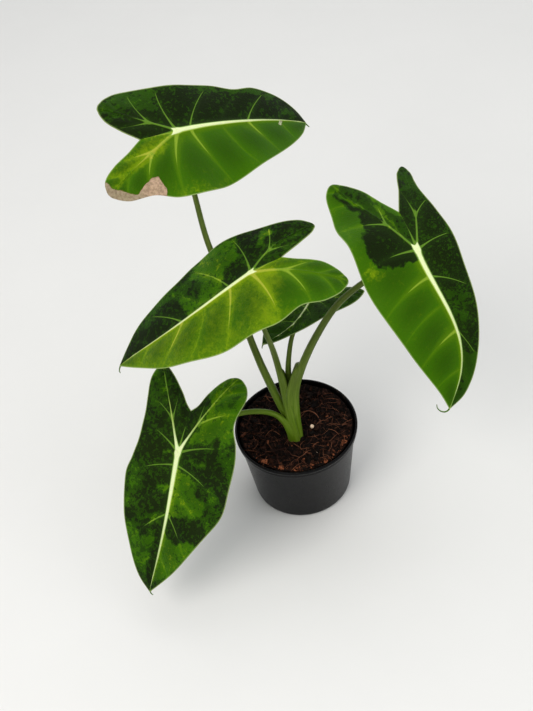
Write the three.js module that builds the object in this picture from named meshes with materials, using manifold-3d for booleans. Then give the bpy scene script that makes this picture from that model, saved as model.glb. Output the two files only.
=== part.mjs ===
// Potted alocasia with five arrow-shaped leaves, in a 12 cm nursery pot.
// Millimetres, +Z up. The origin is the middle of the pot's base, and -Y is the front.
import * as THREE from "three";
import { mergeVertices } from "three/addons/utils/BufferGeometryUtils.js";
import Module from "manifold-3d";

const wasm = await Module();
wasm.setup();

// Driving dimensions: pot
const RIM_RADIUS = 60;
const POT_HEIGHT = 86;
const BASE_RADIUS = 48.5;
const WALL = 1.5;
const FLOOR = 2;
const RIM_BAND = 9;
const RIM_STEP = 1.3;
const RIM_LIP = 1.8;
const BASE_CHAMFER = 2.5;
const POT_SIDES = 48;
const DRAIN_COUNT = 8;
const DRAIN_RADIUS = 4;
const DRAIN_CIRCLE = 34;
const DRAIN_SIDES = 12;

// Driving dimensions: soil
const SOIL_TOP = 81.5;
const SOIL_RELIEF = 1;
const SOIL_RINGS = 9;
const GAP = 0.3;

// Driving dimensions: the clump of stalks
const CLUMP = [-2, -11];
const CLUMP_RING = 3.4;
const STALK_FOOT_RADIUS = 4.4;
const HOLE_RADIUS = 8.4;
const HOLE_FLOOR = 60;
const STALK_SIDES = 12;
const STALK_STEPS = 26;

// Driving dimensions: leaf blades
const BLADE = 0.8;
const RIB_WIDTH = 1.7;
const RIB_DEPTH = 1.9;
const RIB_TAPER = 0.75;
const LOBE_RIB_SHARE = 0.8;
const VEIN_DEPTH = 0.5;
const QUILT = 1.1;
const CREASE = 2;
const HALF_WIDTH = 45;
const LOBE_SPAN = 80;
const ROW_CURVE = 0.07;
const MIDRIB_SPREAD = 1.5;
const LOBE_SPREAD = 1.3;
const COLUMNS = 4;
const SEARCH_STEPS = 400;

// Where the side veins meet the margin, as a share of its length, with one row between each two
const FIRST_VEIN = 0.31;
const SECOND_VEIN = 0.68;
const MIDRIB_VEINS = [0, FIRST_VEIN, 0.5, SECOND_VEIN, 0.84, 1];
const LOBE_VEINS = [0, 0.45, 0.75, 0.9, 1];

const COLOURS = {
  pot: { color: 0x101113, roughness: 0.45, metalness: 0 },
  soil: { color: 0x2e1a12, roughness: 0.95, metalness: 0 },
  stalk: { color: 0x8ea35a, roughness: 0.5, metalness: 0 },
  blade: { color: 0x2f6414, roughness: 0.6, metalness: 0 },
};

// Each leaf. The joint is where stalk and blade meet. Outlines are flat [along, across] points from the
// joint: along runs down the midrib to the tip, across is positive on the left of it. Each side goes
// from the end of its back lobe down the outer margin to the tip, and down the inner margin to the
// sinus. The flank is where the joint's own side vein meets the margin, and the vein roots are where the
// next two main ones leave the midrib. Waves are [height, length, phase] of the margin on each side.
// The stalk's way runs from the clump to below the blade, with its radius at each point.
const LEAVES = [
  {
    name: "back_left",
    joint: [-63, 66, 392],
    length: 131,
    heading: 27,
    droop: 5,
    arch: 32,
    lobeArch: 25,
    bank: 32,
    fold: 0.06,
    curl: 0.08,
    bow: -4,
    skew: 1,
    veinRoots: [11, 65],
    sinus: [-31, 6],
    left: {
      flank: 0,
      waves: [2.5, 62, 0.5],
      lobe: [[-20, 18], [-44, 47]],
      outer: [[-30, 52], [0, 43], [22, 38], [44, 34], [62, 27], [82, 28], [103, 23], [121, 11]],
      inner: [[-46, 35], [-40, 20]],
    },
    right: {
      flank: -22,
      waves: [3, 70, 2],
      lobe: [[-30, -9], [-78, -19]],
      outer: [[-69, -32], [-45, -40], [-27, -51], [-2, -58], [36, -54], [67, -44], [105, -26], [122, -13]],
      inner: [[-74, -8], [-60, -2], [-45, 1]],
    },
    clumpAngle: 140,
    way: [[-6, -3, 100, 4.3], [-11, 2, 113, 4.1], [-23, 13, 155, 3.7], [-28, 20, 175, 3.4], [-40, 44, 222, 3],
      [-55, 66, 268, 2.7], [-60, 77, 320, 2.4], [-62, 74, 362, 2.3]],
  },
  {
    name: "middle",
    joint: [-20, 0, 288],
    length: 151,
    heading: -175.5,
    droop: 19,
    arch: 25,
    lobeArch: 30,
    bank: -13,
    fold: 0.1,
    curl: 0.12,
    bow: 9,
    skew: 1,
    veinRoots: [21, 72],
    sinus: [-29, -4],
    left: {
      flank: -12,
      waves: [3.5, 75, 1],
      lobe: [[-29, 10], [-78, 33]],
      outer: [[-69, 44], [-56, 48], [-34, 45], [-4, 57], [30, 56], [64, 53], [99, 40], [133, 16]],
      inner: [[-75, 25], [-61, 10], [-39, 1]],
    },
    right: {
      flank: 8,
      waves: [2.5, 60, 0],
      lobe: [[-24, -16], [-61, -29]],
      outer: [[-53, -35], [-35, -39], [-6, -43], [28, -41], [48, -38], [67, -29], [108, -21], [135, -8]],
      inner: [[-59, -23], [-46, -13]],
    },
    clumpAngle: 285,
    way: [[-4, -8, 107, 4.4], [-6, 2, 132, 4], [-8, 7, 155, 3.4], [-12, 1, 197, 2.6], [-16, 0, 220, 2.3],
      [-19, 0, 257, 2.2]],
  },
  {
    name: "right",
    joint: [120, 0, 288],
    length: 137,
    heading: -84,
    droop: 31.5,
    arch: 30,
    lobeArch: 30,
    bank: 0,
    fold: 0.08,
    curl: 0.06,
    bow: 18,
    skew: 1.4,
    veinRoots: [24, 72],
    sinus: [-38, -6],
    left: {
      flank: -9,
      waves: [3, 66, 0.8],
      lobe: [[-38, 8], [-89, 11]],
      outer: [[-81, 15], [-58, 17], [-34, 25], [-12, 32], [17, 35], [48, 38], [78, 35], [108, 26], [127, 14]],
      inner: [[-82, 5], [-60, 0]],
    },
    right: {
      flank: 12,
      waves: [3.5, 80, 2.2],
      lobe: [[-39, -28], [-79, -54]],
      outer: [[-71, -61], [-50, -61], [-30, -61], [-13, -56], [20, -50], [54, -39], [83, -26], [122, -6]],
      inner: [[-76, -43], [-67, -30], [-50, -17]],
    },
    clumpAngle: 352,
    way: [[1, -6, 107, 4.6], [3, 1, 132, 4.6], [10, 4, 155, 4.3], [27, 8, 191, 3.5], [50, 11, 227, 3],
      [72, 9, 250, 2.7], [96, 7, 267, 2.4], [112, 4, 278, 2.3]],
  },
  {
    name: "front_left",
    joint: [-108, -60, 140],
    length: 133,
    heading: -119.5,
    droop: 34,
    arch: 25,
    lobeArch: 25,
    bank: 0,
    fold: 0.1,
    curl: 0.05,
    bow: 5,
    skew: 1,
    veinRoots: [11, 55],
    sinus: [-40, -2],
    left: {
      flank: -14,
      waves: [3, 70, 0],
      lobe: [[-33, 11], [-82, 29]],
      outer: [[-76, 39], [-62, 46], [-36, 44], [-19, 51], [12, 59], [40, 57], [68, 44], [107, 21]],
      inner: [[-79, 20], [-60, 8], [-46, 3]],
    },
    right: {
      flank: -18,
      waves: [3, 64, 1.5],
      lobe: [[-30, -17], [-75, -46]],
      outer: [[-62, -50], [-42, -48], [-20, -43], [-2, -40], [14, -42], [30, -46], [58, -38], [92, -27],
        [120, -12]],
      inner: [[-71, -36], [-55, -17], [-45, -8]],
    },
    clumpAngle: 212,
    way: [[-6, -12.5, 92, 4.1], [-10, -9, 103, 3.6], [-17, -6, 111, 2.9], [-30, -8, 121, 2.6],
      [-53, -16, 131, 2.4], [-78, -33, 134, 2.4], [-99, -51, 131, 2.4]],
  },
  {
    name: "inner",
    joint: [30, 50, 200],
    length: 62,
    heading: -148,
    droop: 12,
    arch: 8,
    lobeArch: 15,
    bank: 6,
    fold: 0.08,
    curl: 0.04,
    bow: 9,
    skew: 1,
    veinRoots: [9, 26],
    sinus: [-20, 4],
    left: {
      flank: -4,
      waves: [2, 45, 0],
      lobe: [[-16, 14], [-37, 34]],
      outer: [[-28, 38], [-7, 32], [20, 24], [37, 17], [54, 8]],
      inner: [[-36, 24], [-29, 12]],
    },
    right: {
      flank: -2,
      waves: [2, 50, 1],
      lobe: [[-18, -8], [-38, -22]],
      outer: [[-29, -28], [-6, -29], [18, -27], [40, -18], [54, -8]],
      inner: [[-34, -11], [-26, -1]],
    },
    clumpAngle: 75,
    way: [[-1, 1, 112, 4], [-1, 10, 140, 3.2], [2, 17, 163, 2.4], [9, 27, 184, 2.1], [20, 41, 191, 2]],
  },
];

const radians = THREE.MathUtils.degToRad;

function mesh(name, geometry, look) {
  const piece = new THREE.Mesh(geometry, new THREE.MeshStandardMaterial(look));
  piece.name = name;
  return piece;
}

function indexedGeometry(points, triangles) {
  const geometry = new THREE.BufferGeometry();
  geometry.setAttribute("position", new THREE.Float32BufferAttribute(points.flatMap((p) => p.toArray()), 3));
  geometry.setIndex(triangles.flat());
  return geometry;
}

// Solids for cuts and joins
function toSolid(geometry) {
  const plain = geometry.clone();
  plain.deleteAttribute("normal");
  plain.deleteAttribute("uv");
  const merged = mergeVertices(plain, 1e-4);
  const vertProperties = new Float32Array(merged.attributes.position.array);
  const triVerts = new Uint32Array(merged.index.array);
  return new wasm.Manifold(new wasm.Mesh({ numProp: 3, vertProperties, triVerts }));
}

function toGeometry(solid) {
  const { vertProperties, triVerts } = solid.getMesh();
  const geometry = new THREE.BufferGeometry();
  geometry.setAttribute("position", new THREE.BufferAttribute(vertProperties, 3));
  geometry.setIndex(new THREE.BufferAttribute(triVerts, 1));
  return geometry;
}

// Pot: a thin tapered cup with a proud rim band, a rolled lip and drain holes round its floor
function wallRadius(height) {
  const topRadius = RIM_RADIUS - RIM_STEP - RIM_LIP;
  return THREE.MathUtils.lerp(BASE_RADIUS, topRadius, height / (POT_HEIGHT - RIM_BAND));
}

function potGeometry() {
  const bandFoot = POT_HEIGHT - RIM_BAND;
  const bandRadius = RIM_RADIUS - RIM_LIP / 2;
  const profile = [
    [0, 0],
    [BASE_RADIUS - BASE_CHAMFER, 0],
    [BASE_RADIUS, BASE_CHAMFER],
    [wallRadius(bandFoot), bandFoot],
    [bandRadius, bandFoot + RIM_STEP],
    [bandRadius, POT_HEIGHT - 2 * RIM_LIP],
    [RIM_RADIUS, POT_HEIGHT - RIM_LIP],
    [RIM_RADIUS - RIM_LIP / 2, POT_HEIGHT],
    [bandRadius - WALL, POT_HEIGHT - RIM_LIP],
    [bandRadius - WALL, bandFoot + RIM_STEP],
    [wallRadius(bandFoot) - WALL, bandFoot - RIM_STEP],
    [BASE_RADIUS - WALL, FLOOR + BASE_CHAMFER],
    [BASE_RADIUS - WALL - BASE_CHAMFER, FLOOR],
    [0, FLOOR],
  ];
  const turned = new THREE.LatheGeometry(profile.map(([r, z]) => new THREE.Vector2(r, z)), POT_SIDES);
  turned.rotateX(Math.PI / 2);
  let pot = toSolid(turned);
  for (let k = 0; k < DRAIN_COUNT; k += 1) {
    const angle = (2 * Math.PI * k) / DRAIN_COUNT;
    const drain = new THREE.CylinderGeometry(DRAIN_RADIUS, DRAIN_RADIUS, 4 * FLOOR, DRAIN_SIDES);
    drain.rotateX(Math.PI / 2);
    drain.translate(DRAIN_CIRCLE * Math.cos(angle), DRAIN_CIRCLE * Math.sin(angle), FLOOR);
    pot = pot.subtract(toSolid(drain));
  }
  return toGeometry(pot);
}

// Soil: a plug with a lumpy top, clear of the pot by the gap, and a plain hole for the stalks
function soilHeight(x, y) {
  const lumps = Math.sin(0.42 * x + 1.3) * Math.cos(0.37 * y - 0.4) + 0.6 * Math.sin(0.83 * y + 0.31 * x);
  return SOIL_TOP + SOIL_RELIEF * lumps;
}

function soilGeometry() {
  const rimRadius = wallRadius(POT_HEIGHT - RIM_BAND) - WALL - GAP;
  const footRadius = BASE_RADIUS - WALL - BASE_CHAMFER - GAP;
  const shoulder = FLOOR + BASE_CHAMFER + GAP;
  const profile = [
    [0, FLOOR + GAP],
    [footRadius, FLOOR + GAP],
    [BASE_RADIUS - WALL - GAP, shoulder],
    [rimRadius, POT_HEIGHT - RIM_BAND - RIM_STEP],
  ];
  for (let k = SOIL_RINGS; k >= 0; k -= 1) {
    profile.push([(rimRadius * k) / SOIL_RINGS, SOIL_TOP]);
  }
  const turned = new THREE.LatheGeometry(profile.map(([r, z]) => new THREE.Vector2(r, z)), POT_SIDES);
  turned.rotateX(Math.PI / 2);
  const position = turned.attributes.position;
  for (let k = 0; k < position.count; k += 1) {
    if (position.getZ(k) > POT_HEIGHT - RIM_BAND) {
      position.setZ(k, soilHeight(position.getX(k), position.getY(k)));
    }
  }
  const depth = 2 * (SOIL_TOP - HOLE_FLOOR);
  const hole = new THREE.CylinderGeometry(HOLE_RADIUS, HOLE_RADIUS, depth, 2 * STALK_SIDES);
  hole.rotateX(Math.PI / 2);
  hole.translate(CLUMP[0], CLUMP[1], SOIL_TOP);
  return toGeometry(toSolid(turned).subtract(toSolid(hole)));
}

// Blade surface: the midrib is an arc from the joint, and the blade is banked, folded and waved about it
function midribOffset(leaf, along) {
  if (along <= 0 || along >= leaf.length) return 0;
  return leaf.bow * Math.sin(Math.PI * (along / leaf.length) ** leaf.skew);
}

function bladePoint(leaf, along, across, rise) {
  const bend = along >= 0 ? radians(leaf.arch) / leaf.length : radians(leaf.lobeArch) / LOBE_SPAN;
  const start = radians(leaf.droop);
  const slope = start + bend * along;
  const heading = radians(leaf.heading);
  const ahead = (Math.sin(slope) - Math.sin(start)) / bend;
  const up = (Math.cos(slope) - Math.cos(start)) / bend;
  const forward = new THREE.Vector3(Math.cos(heading), Math.sin(heading), 0);
  const tangent = forward.clone().multiplyScalar(Math.cos(slope));
  tangent.z = -Math.sin(slope);
  const level = new THREE.Vector3(-forward.y, forward.x, 0);
  const lateral = level.clone().applyAxisAngle(tangent, radians(leaf.bank));
  const normal = tangent.clone().cross(lateral);
  const offset = across - midribOffset(leaf, along);
  const width = Math.sqrt(offset * offset + CREASE * CREASE) - CREASE;
  const [height, length, phase] = offset >= 0 ? leaf.left.waves : leaf.right.waves;
  const wave = height * (width / HALF_WIDTH) ** 2 * Math.sin((2 * Math.PI * along) / length + phase);
  const lift = leaf.fold * width - (leaf.curl * width * width) / HALF_WIDTH + wave + rise;
  return new THREE.Vector3(...leaf.joint)
    .addScaledVector(forward, ahead)
    .add(new THREE.Vector3(0, 0, up))
    .addScaledVector(lateral, across)
    .addScaledVector(normal, lift);
}

function bladeNormal(leaf, along, across) {
  const step = 0.5;
  const down = bladePoint(leaf, along + step, across, 0).sub(bladePoint(leaf, along - step, across, 0));
  const over = bladePoint(leaf, along, across + step, 0).sub(bladePoint(leaf, along, across - step, 0));
  return down.cross(over).normalize();
}

// Rows run from the skeleton of the leaf to its margin, along the side veins and midway between them
function rowShares(veins) {
  const shares = [0];
  for (let k = 1; k < veins.length; k += 1) {
    shares.push((veins[k - 1] + veins[k]) / 2, veins[k]);
  }
  return shares;
}

// How far down the midrib a row starts that meets the margin at a share of its length
function rootAlong(leaf, share) {
  const [first, second] = leaf.veinRoots;
  if (share < FIRST_VEIN) {
    return first * (share / FIRST_VEIN) ** MIDRIB_SPREAD;
  }
  if (share < SECOND_VEIN) {
    return THREE.MathUtils.mapLinear(share, FIRST_VEIN, SECOND_VEIN, first, second);
  }
  return THREE.MathUtils.mapLinear(share, SECOND_VEIN, 1, second, leaf.length);
}

function curveThrough(points) {
  return new THREE.CatmullRomCurve3(points.map(([s, t]) => new THREE.Vector3(s, t, 0)), false, "centripetal");
}

// The share of a curve's length at which a point of it misses least
function bestShare(curve, misfit) {
  let best = 0;
  for (let k = 0; k <= SEARCH_STEPS; k += 1) {
    const share = k / SEARCH_STEPS;
    if (misfit(curve.getPointAt(share)) < misfit(curve.getPointAt(best))) best = share;
  }
  return best;
}

function bladeGeometry(leaf) {
  const points = [];

  function add(along, across, ridge, rise) {
    points.push({ along, across, ridge, rise });
    return points.length - 1;
  }

  const midShares = rowShares(MIDRIB_VEINS);
  const lobeShares = rowShares(LOBE_VEINS);
  const taper = (share) => RIB_DEPTH * (1 - RIB_TAPER * share);

  const midrib = midShares.map((share) => {
    const along = rootAlong(leaf, share);
    return add(along, midribOffset(leaf, along), taper(along / leaf.length), 0);
  });
  const tip = midrib.at(-1);
  const lobes = {};
  for (const side of ["left", "right"]) {
    const vein = curveThrough([[0, 0], ...leaf[side].lobe]);
    const beyond = lobeShares.slice(1).map((share) => {
      const at = vein.getPointAt(share ** LOBE_SPREAD);
      return add(at.x, at.y, LOBE_RIB_SHARE * taper(share), 0);
    });
    lobes[side] = [midrib[0], ...beyond];
  }

  // One row of points from the skeleton to the margin, bowed back a little at its middle
  function row(from, margin, bulge, ridge) {
    const root = points[from];
    const reach = Math.hypot(margin.x - root.along, margin.y - root.across);
    const ribShare = Math.min(RIB_WIDTH / reach, 0.5 / COLUMNS);
    const shares = [ribShare];
    for (let k = 1; k <= COLUMNS; k += 1) shares.push(k / COLUMNS);
    const ids = shares.map((share) => {
      const bow = ROW_CURVE * reach * 4 * share * (1 - share);
      const along = THREE.MathUtils.lerp(root.along, margin.x, share) - bow;
      const across = THREE.MathUtils.lerp(root.across, margin.y, share);
      const swell = Math.sin(Math.PI * share);
      return add(along, across, ridge * (1 - share), bulge * swell);
    });
    return [from, ...ids];
  }

  function shareRows(skeleton, shares, veins, marginAt) {
    return shares.slice(0, -1).map((share, k) => {
      const onVein = veins.includes(share);
      return row(skeleton[k], marginAt(share), onVein ? 0 : QUILT, onVein ? VEIN_DEPTH : 0);
    });
  }

  const triangles = [];
  function fill(rows, flip) {
    for (let i = 1; i < rows.length; i += 1) {
      for (let j = 1; j <= COLUMNS + 1; j += 1) {
        const at = (r, c) => rows[r].length === 1 ? rows[r][0] : rows[r][c];
        const quad = [at(i - 1, j - 1), at(i, j - 1), at(i, j), at(i - 1, j)];
        for (const [a, b, c] of [[quad[0], quad[1], quad[2]], [quad[0], quad[2], quad[3]]]) {
          if (a !== b && b !== c && c !== a) triangles.push(flip ? [a, c, b] : [a, b, c]);
        }
      }
    }
  }

  const sinusRow = row(midrib[0], new THREE.Vector3(...leaf.sinus, 0), 0, VEIN_DEPTH);
  for (const side of ["left", "right"]) {
    const shape = leaf[side];
    const lobeEnd = shape.lobe.at(-1);
    const tipEnd = [leaf.length, 0];
    const margin = curveThrough([leaf.sinus, ...shape.inner.toReversed(), lobeEnd, ...shape.outer, tipEnd]);
    const turn = bestShare(margin, (p) => Math.hypot(p.x - lobeEnd[0], p.y - lobeEnd[1]));
    const flank = bestShare(margin, (p) => Math.abs(p.x - shape.flank));
    const ahead = (share) => margin.getPointAt(THREE.MathUtils.lerp(flank, 1, share));
    const behind = (share) => margin.getPointAt(THREE.MathUtils.lerp(flank, turn, share));
    const inside = (share) => margin.getPointAt(turn * share);
    const toTip = shareRows(midrib, midShares, MIDRIB_VEINS, ahead);
    const toLobe = shareRows(lobes[side], lobeShares, LOBE_VEINS, behind);
    const within = shareRows(lobes[side], lobeShares, LOBE_VEINS, inside);
    toLobe[0] = toTip[0];
    within[0] = sinusRow;
    const isRight = side === "right";
    fill([...toTip, [tip]], isRight);
    fill([...toLobe, [lobes[side].at(-1)]], !isRight);
    fill([...within, [lobes[side].at(-1)]], isRight);
  }
  return thicken(leaf, points, triangles);
}

// Upper face, an underside below it with the ribs standing down, and the edge between them
function thicken(leaf, points, triangles) {
  const upper = points.map((p) => bladePoint(leaf, p.along, p.across, p.rise));
  const lower = points.map((p, k) => {
    const normal = bladeNormal(leaf, p.along, p.across);
    return upper[k].clone().addScaledVector(normal, -(BLADE + p.ridge));
  });
  const count = points.length;
  const shell = triangles.flatMap(([a, b, c]) => [[a, b, c], [a + count, c + count, b + count]]);
  const edges = new Set(triangles.flatMap(([a, b, c]) => [`${a} ${b}`, `${b} ${c}`, `${c} ${a}`]));
  for (const edge of edges) {
    const [a, b] = edge.split(" ").map(Number);
    if (!edges.has(`${b} ${a}`)) {
      shell.push([b, a, a + count], [b, a + count, b + count]);
    }
  }
  return indexedGeometry([...upper, ...lower], shell);
}

// Stalks: round tapered tubes, thick at the foot, each ending square under its blade
function stalkGeometry(leaf, grow) {
  const angle = radians(leaf.clumpAngle);
  const x = CLUMP[0] + CLUMP_RING * Math.cos(angle);
  const y = CLUMP[1] + CLUMP_RING * Math.sin(angle);
  const normal = bladeNormal(leaf, 0, 0);
  const under = new THREE.Vector3(...leaf.joint).addScaledVector(normal, -(BLADE + RIB_DEPTH + GAP));
  const endRadius = leaf.way.at(-1)[3];
  const neck = under.clone().addScaledVector(normal, -2 * endRadius);
  const stations = [
    [x, y, HOLE_FLOOR + GAP - grow, STALK_FOOT_RADIUS],
    [x, y, SOIL_TOP, STALK_FOOT_RADIUS],
    ...leaf.way,
    [...neck.toArray(), endRadius],
    [...under.toArray(), endRadius],
  ];
  const centres = stations.map(([a, b, c]) => new THREE.Vector3(a, b, c));
  const route = new THREE.CatmullRomCurve3(centres, false, "centripetal");
  const last = stations.length - 1;
  const frames = route.computeFrenetFrames(STALK_STEPS, false);
  const points = [];
  for (let i = 0; i <= STALK_STEPS; i += 1) {
    const share = route.getUtoTmapping(i / STALK_STEPS) * last;
    const k = Math.min(Math.floor(share), last - 1);
    const radius = THREE.MathUtils.lerp(stations[k][3], stations[k + 1][3], share - k) + grow;
    const centre = route.getPointAt(i / STALK_STEPS);
    for (let j = 0; j < STALK_SIDES; j += 1) {
      const turn = (2 * Math.PI * j) / STALK_SIDES;
      const out = frames.normals[i].clone().multiplyScalar(Math.cos(turn));
      out.addScaledVector(frames.binormals[i], Math.sin(turn));
      points.push(centre.clone().addScaledVector(out, radius));
    }
  }
  const triangles = [];
  for (let i = 0; i < STALK_STEPS; i += 1) {
    for (let j = 0; j < STALK_SIDES; j += 1) {
      const a = i * STALK_SIDES + j;
      const b = i * STALK_SIDES + ((j + 1) % STALK_SIDES);
      triangles.push([a, b, b + STALK_SIDES], [a, b + STALK_SIDES, a + STALK_SIDES]);
    }
  }
  const top = STALK_STEPS * STALK_SIDES;
  for (let j = 1; j < STALK_SIDES - 1; j += 1) {
    triangles.push([0, j + 1, j], [top, top + j, top + j + 1]);
  }
  return indexedGeometry(points, triangles);
}

const group = new THREE.Group();
group.add(mesh("pot", potGeometry(), COLOURS.pot));
group.add(mesh("soil", soilGeometry(), COLOURS.soil));

// Outer stalks keep their full round, and each one further in is cut to lie against them
const CLUMP_ORDER = ["front_left", "back_left", "right", "middle", "inner"];
const outerStalks = [];
for (const name of CLUMP_ORDER) {
  const leaf = LEAVES.find((entry) => entry.name === name);
  let stalk = toSolid(stalkGeometry(leaf, 0));
  for (const other of outerStalks) stalk = stalk.subtract(other);
  outerStalks.push(toSolid(stalkGeometry(leaf, GAP)));
  group.add(mesh(`stalk_${name}`, toGeometry(stalk), COLOURS.stalk));
}
for (const leaf of LEAVES) {
  group.add(mesh(`blade_${leaf.name}`, bladeGeometry(leaf), COLOURS.blade));
}

export default group;
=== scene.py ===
import math
import random

import bpy
import numpy as np
from bpy.props import FloatProperty, FloatVectorProperty, IntProperty, PointerProperty
from bpy.types import Operator, Panel, PropertyGroup
from mathutils import Euler, Matrix, Vector, noise


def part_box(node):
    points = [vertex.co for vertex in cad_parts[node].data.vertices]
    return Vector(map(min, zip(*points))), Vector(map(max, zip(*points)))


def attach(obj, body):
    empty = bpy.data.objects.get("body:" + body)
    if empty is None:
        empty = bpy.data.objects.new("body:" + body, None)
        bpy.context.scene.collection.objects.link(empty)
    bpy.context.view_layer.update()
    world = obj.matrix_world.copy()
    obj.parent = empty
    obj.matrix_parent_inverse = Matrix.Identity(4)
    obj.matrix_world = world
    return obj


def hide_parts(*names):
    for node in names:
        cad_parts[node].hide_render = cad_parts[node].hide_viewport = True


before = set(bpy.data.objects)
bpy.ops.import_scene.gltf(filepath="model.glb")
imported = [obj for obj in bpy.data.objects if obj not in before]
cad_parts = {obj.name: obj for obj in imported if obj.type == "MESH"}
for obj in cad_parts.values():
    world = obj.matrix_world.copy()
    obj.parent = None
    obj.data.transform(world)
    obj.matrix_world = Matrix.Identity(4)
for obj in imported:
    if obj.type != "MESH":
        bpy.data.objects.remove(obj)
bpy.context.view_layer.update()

bl_info = {
    "name": "Potted alocasia",
    "version": (1, 0, 0),
    "blender": (4, 5, 0),
    "location": "View3D > Sidebar > Alocasia",
    "description": "Dresses the frame of a potted alocasia with leaves, stalks, potting mix and pot",
    "category": "Add Mesh",
}

# Lengths in this file are in millimetres, as in the part's source, and MM makes them metres.
MM = 0.001
POT_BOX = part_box("pot")

# Places where the photograph shows the pot's rim, and how its camera was found to stand
PHOTO_WIDTH = 533
PHOTO_HEIGHT = 711
FOCAL_PIXELS = 1050
RIM_CENTRE_PIXEL = (295.8, 424.4)
RIM_RADIUS_PIXELS = 61.4
CAMERA_ELEVATION = 50
CAMERA_ROLL = 7.8

# The pot and what fills it
RIM_RADIUS = (POT_BOX[1].x - POT_BOX[0].x) / 2 / MM
POT_HEIGHT = POT_BOX[1].z / MM
BASE_RADIUS = 48.5
WALL = 1.5
FLOOR = 2
RIM_BAND = 9
RIM_STEP = 1.3
RIM_LIP = 1.8
BASE_CHAMFER = 2.5
DRAIN_COUNT = 8
DRAIN_RADIUS = 4
DRAIN_CIRCLE = 34
SOIL_TOP = 81.5
SOIL_RELIEF = 1
BANK_RISE = 1.8
GAP = 0.3

# The clump of stalks
CLUMP = (-2, -11)
CLUMP_RING = 3.4
STALK_FOOT_RADIUS = 4.4
STALK_FOOT = 66

# How the blades are laid out
BLADE = 0.8
RIB_DEPTH = 1.9
RIB_TAPER = 0.75
LOBE_RIB_SHARE = 0.8
VEIN_DEPTH = 0.5
QUILT = 1.1
CREASE = 2
HALF_WIDTH = 45
LOBE_SPAN = 80
ROW_CURVE = 0.07
MIDRIB_SPREAD = 1.5
LOBE_SPREAD = 1.3
FIRST_VEIN = 0.31
SECOND_VEIN = 0.68
MIDRIB_VEINS = (0, FIRST_VEIN, 0.5, SECOND_VEIN, 0.84, 1)
LOBE_VEINS = (0, 0.45, 0.75, 0.9, 1)

# Half widths in millimetres along the pale lines, from where each begins to where it ends
MIDRIB_WIDTHS = (2.9, 2.1, 1.5, 0.9, 0.35)
LOBE_WIDTHS = (1.5, 1.05, 0.75, 0.5, 0.25)
STAR_WIDTHS = (1.7, 0.95, 0.65, 0.45, 0.3)
LOBE_VEIN_WIDTHS = (1.2, 1.0, 0.8, 0.6, 0.4)
MAIN_VEIN_WIDTHS = (1.35, 0.75, 0.55, 0.4, 0.25)
MINOR_VEIN_WIDTHS = (0.4, 0.35, 0.3, 0.25, 0.2)
MINOR_VEIN_FAINTNESS = 1.2
MAIN_VEINS = (0, FIRST_VEIN, SECOND_VEIN)
MAIN_LOBE_VEINS = (0, 0.45)
LINE_POINTS = 60
VEIN_POINTS = 24

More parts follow.
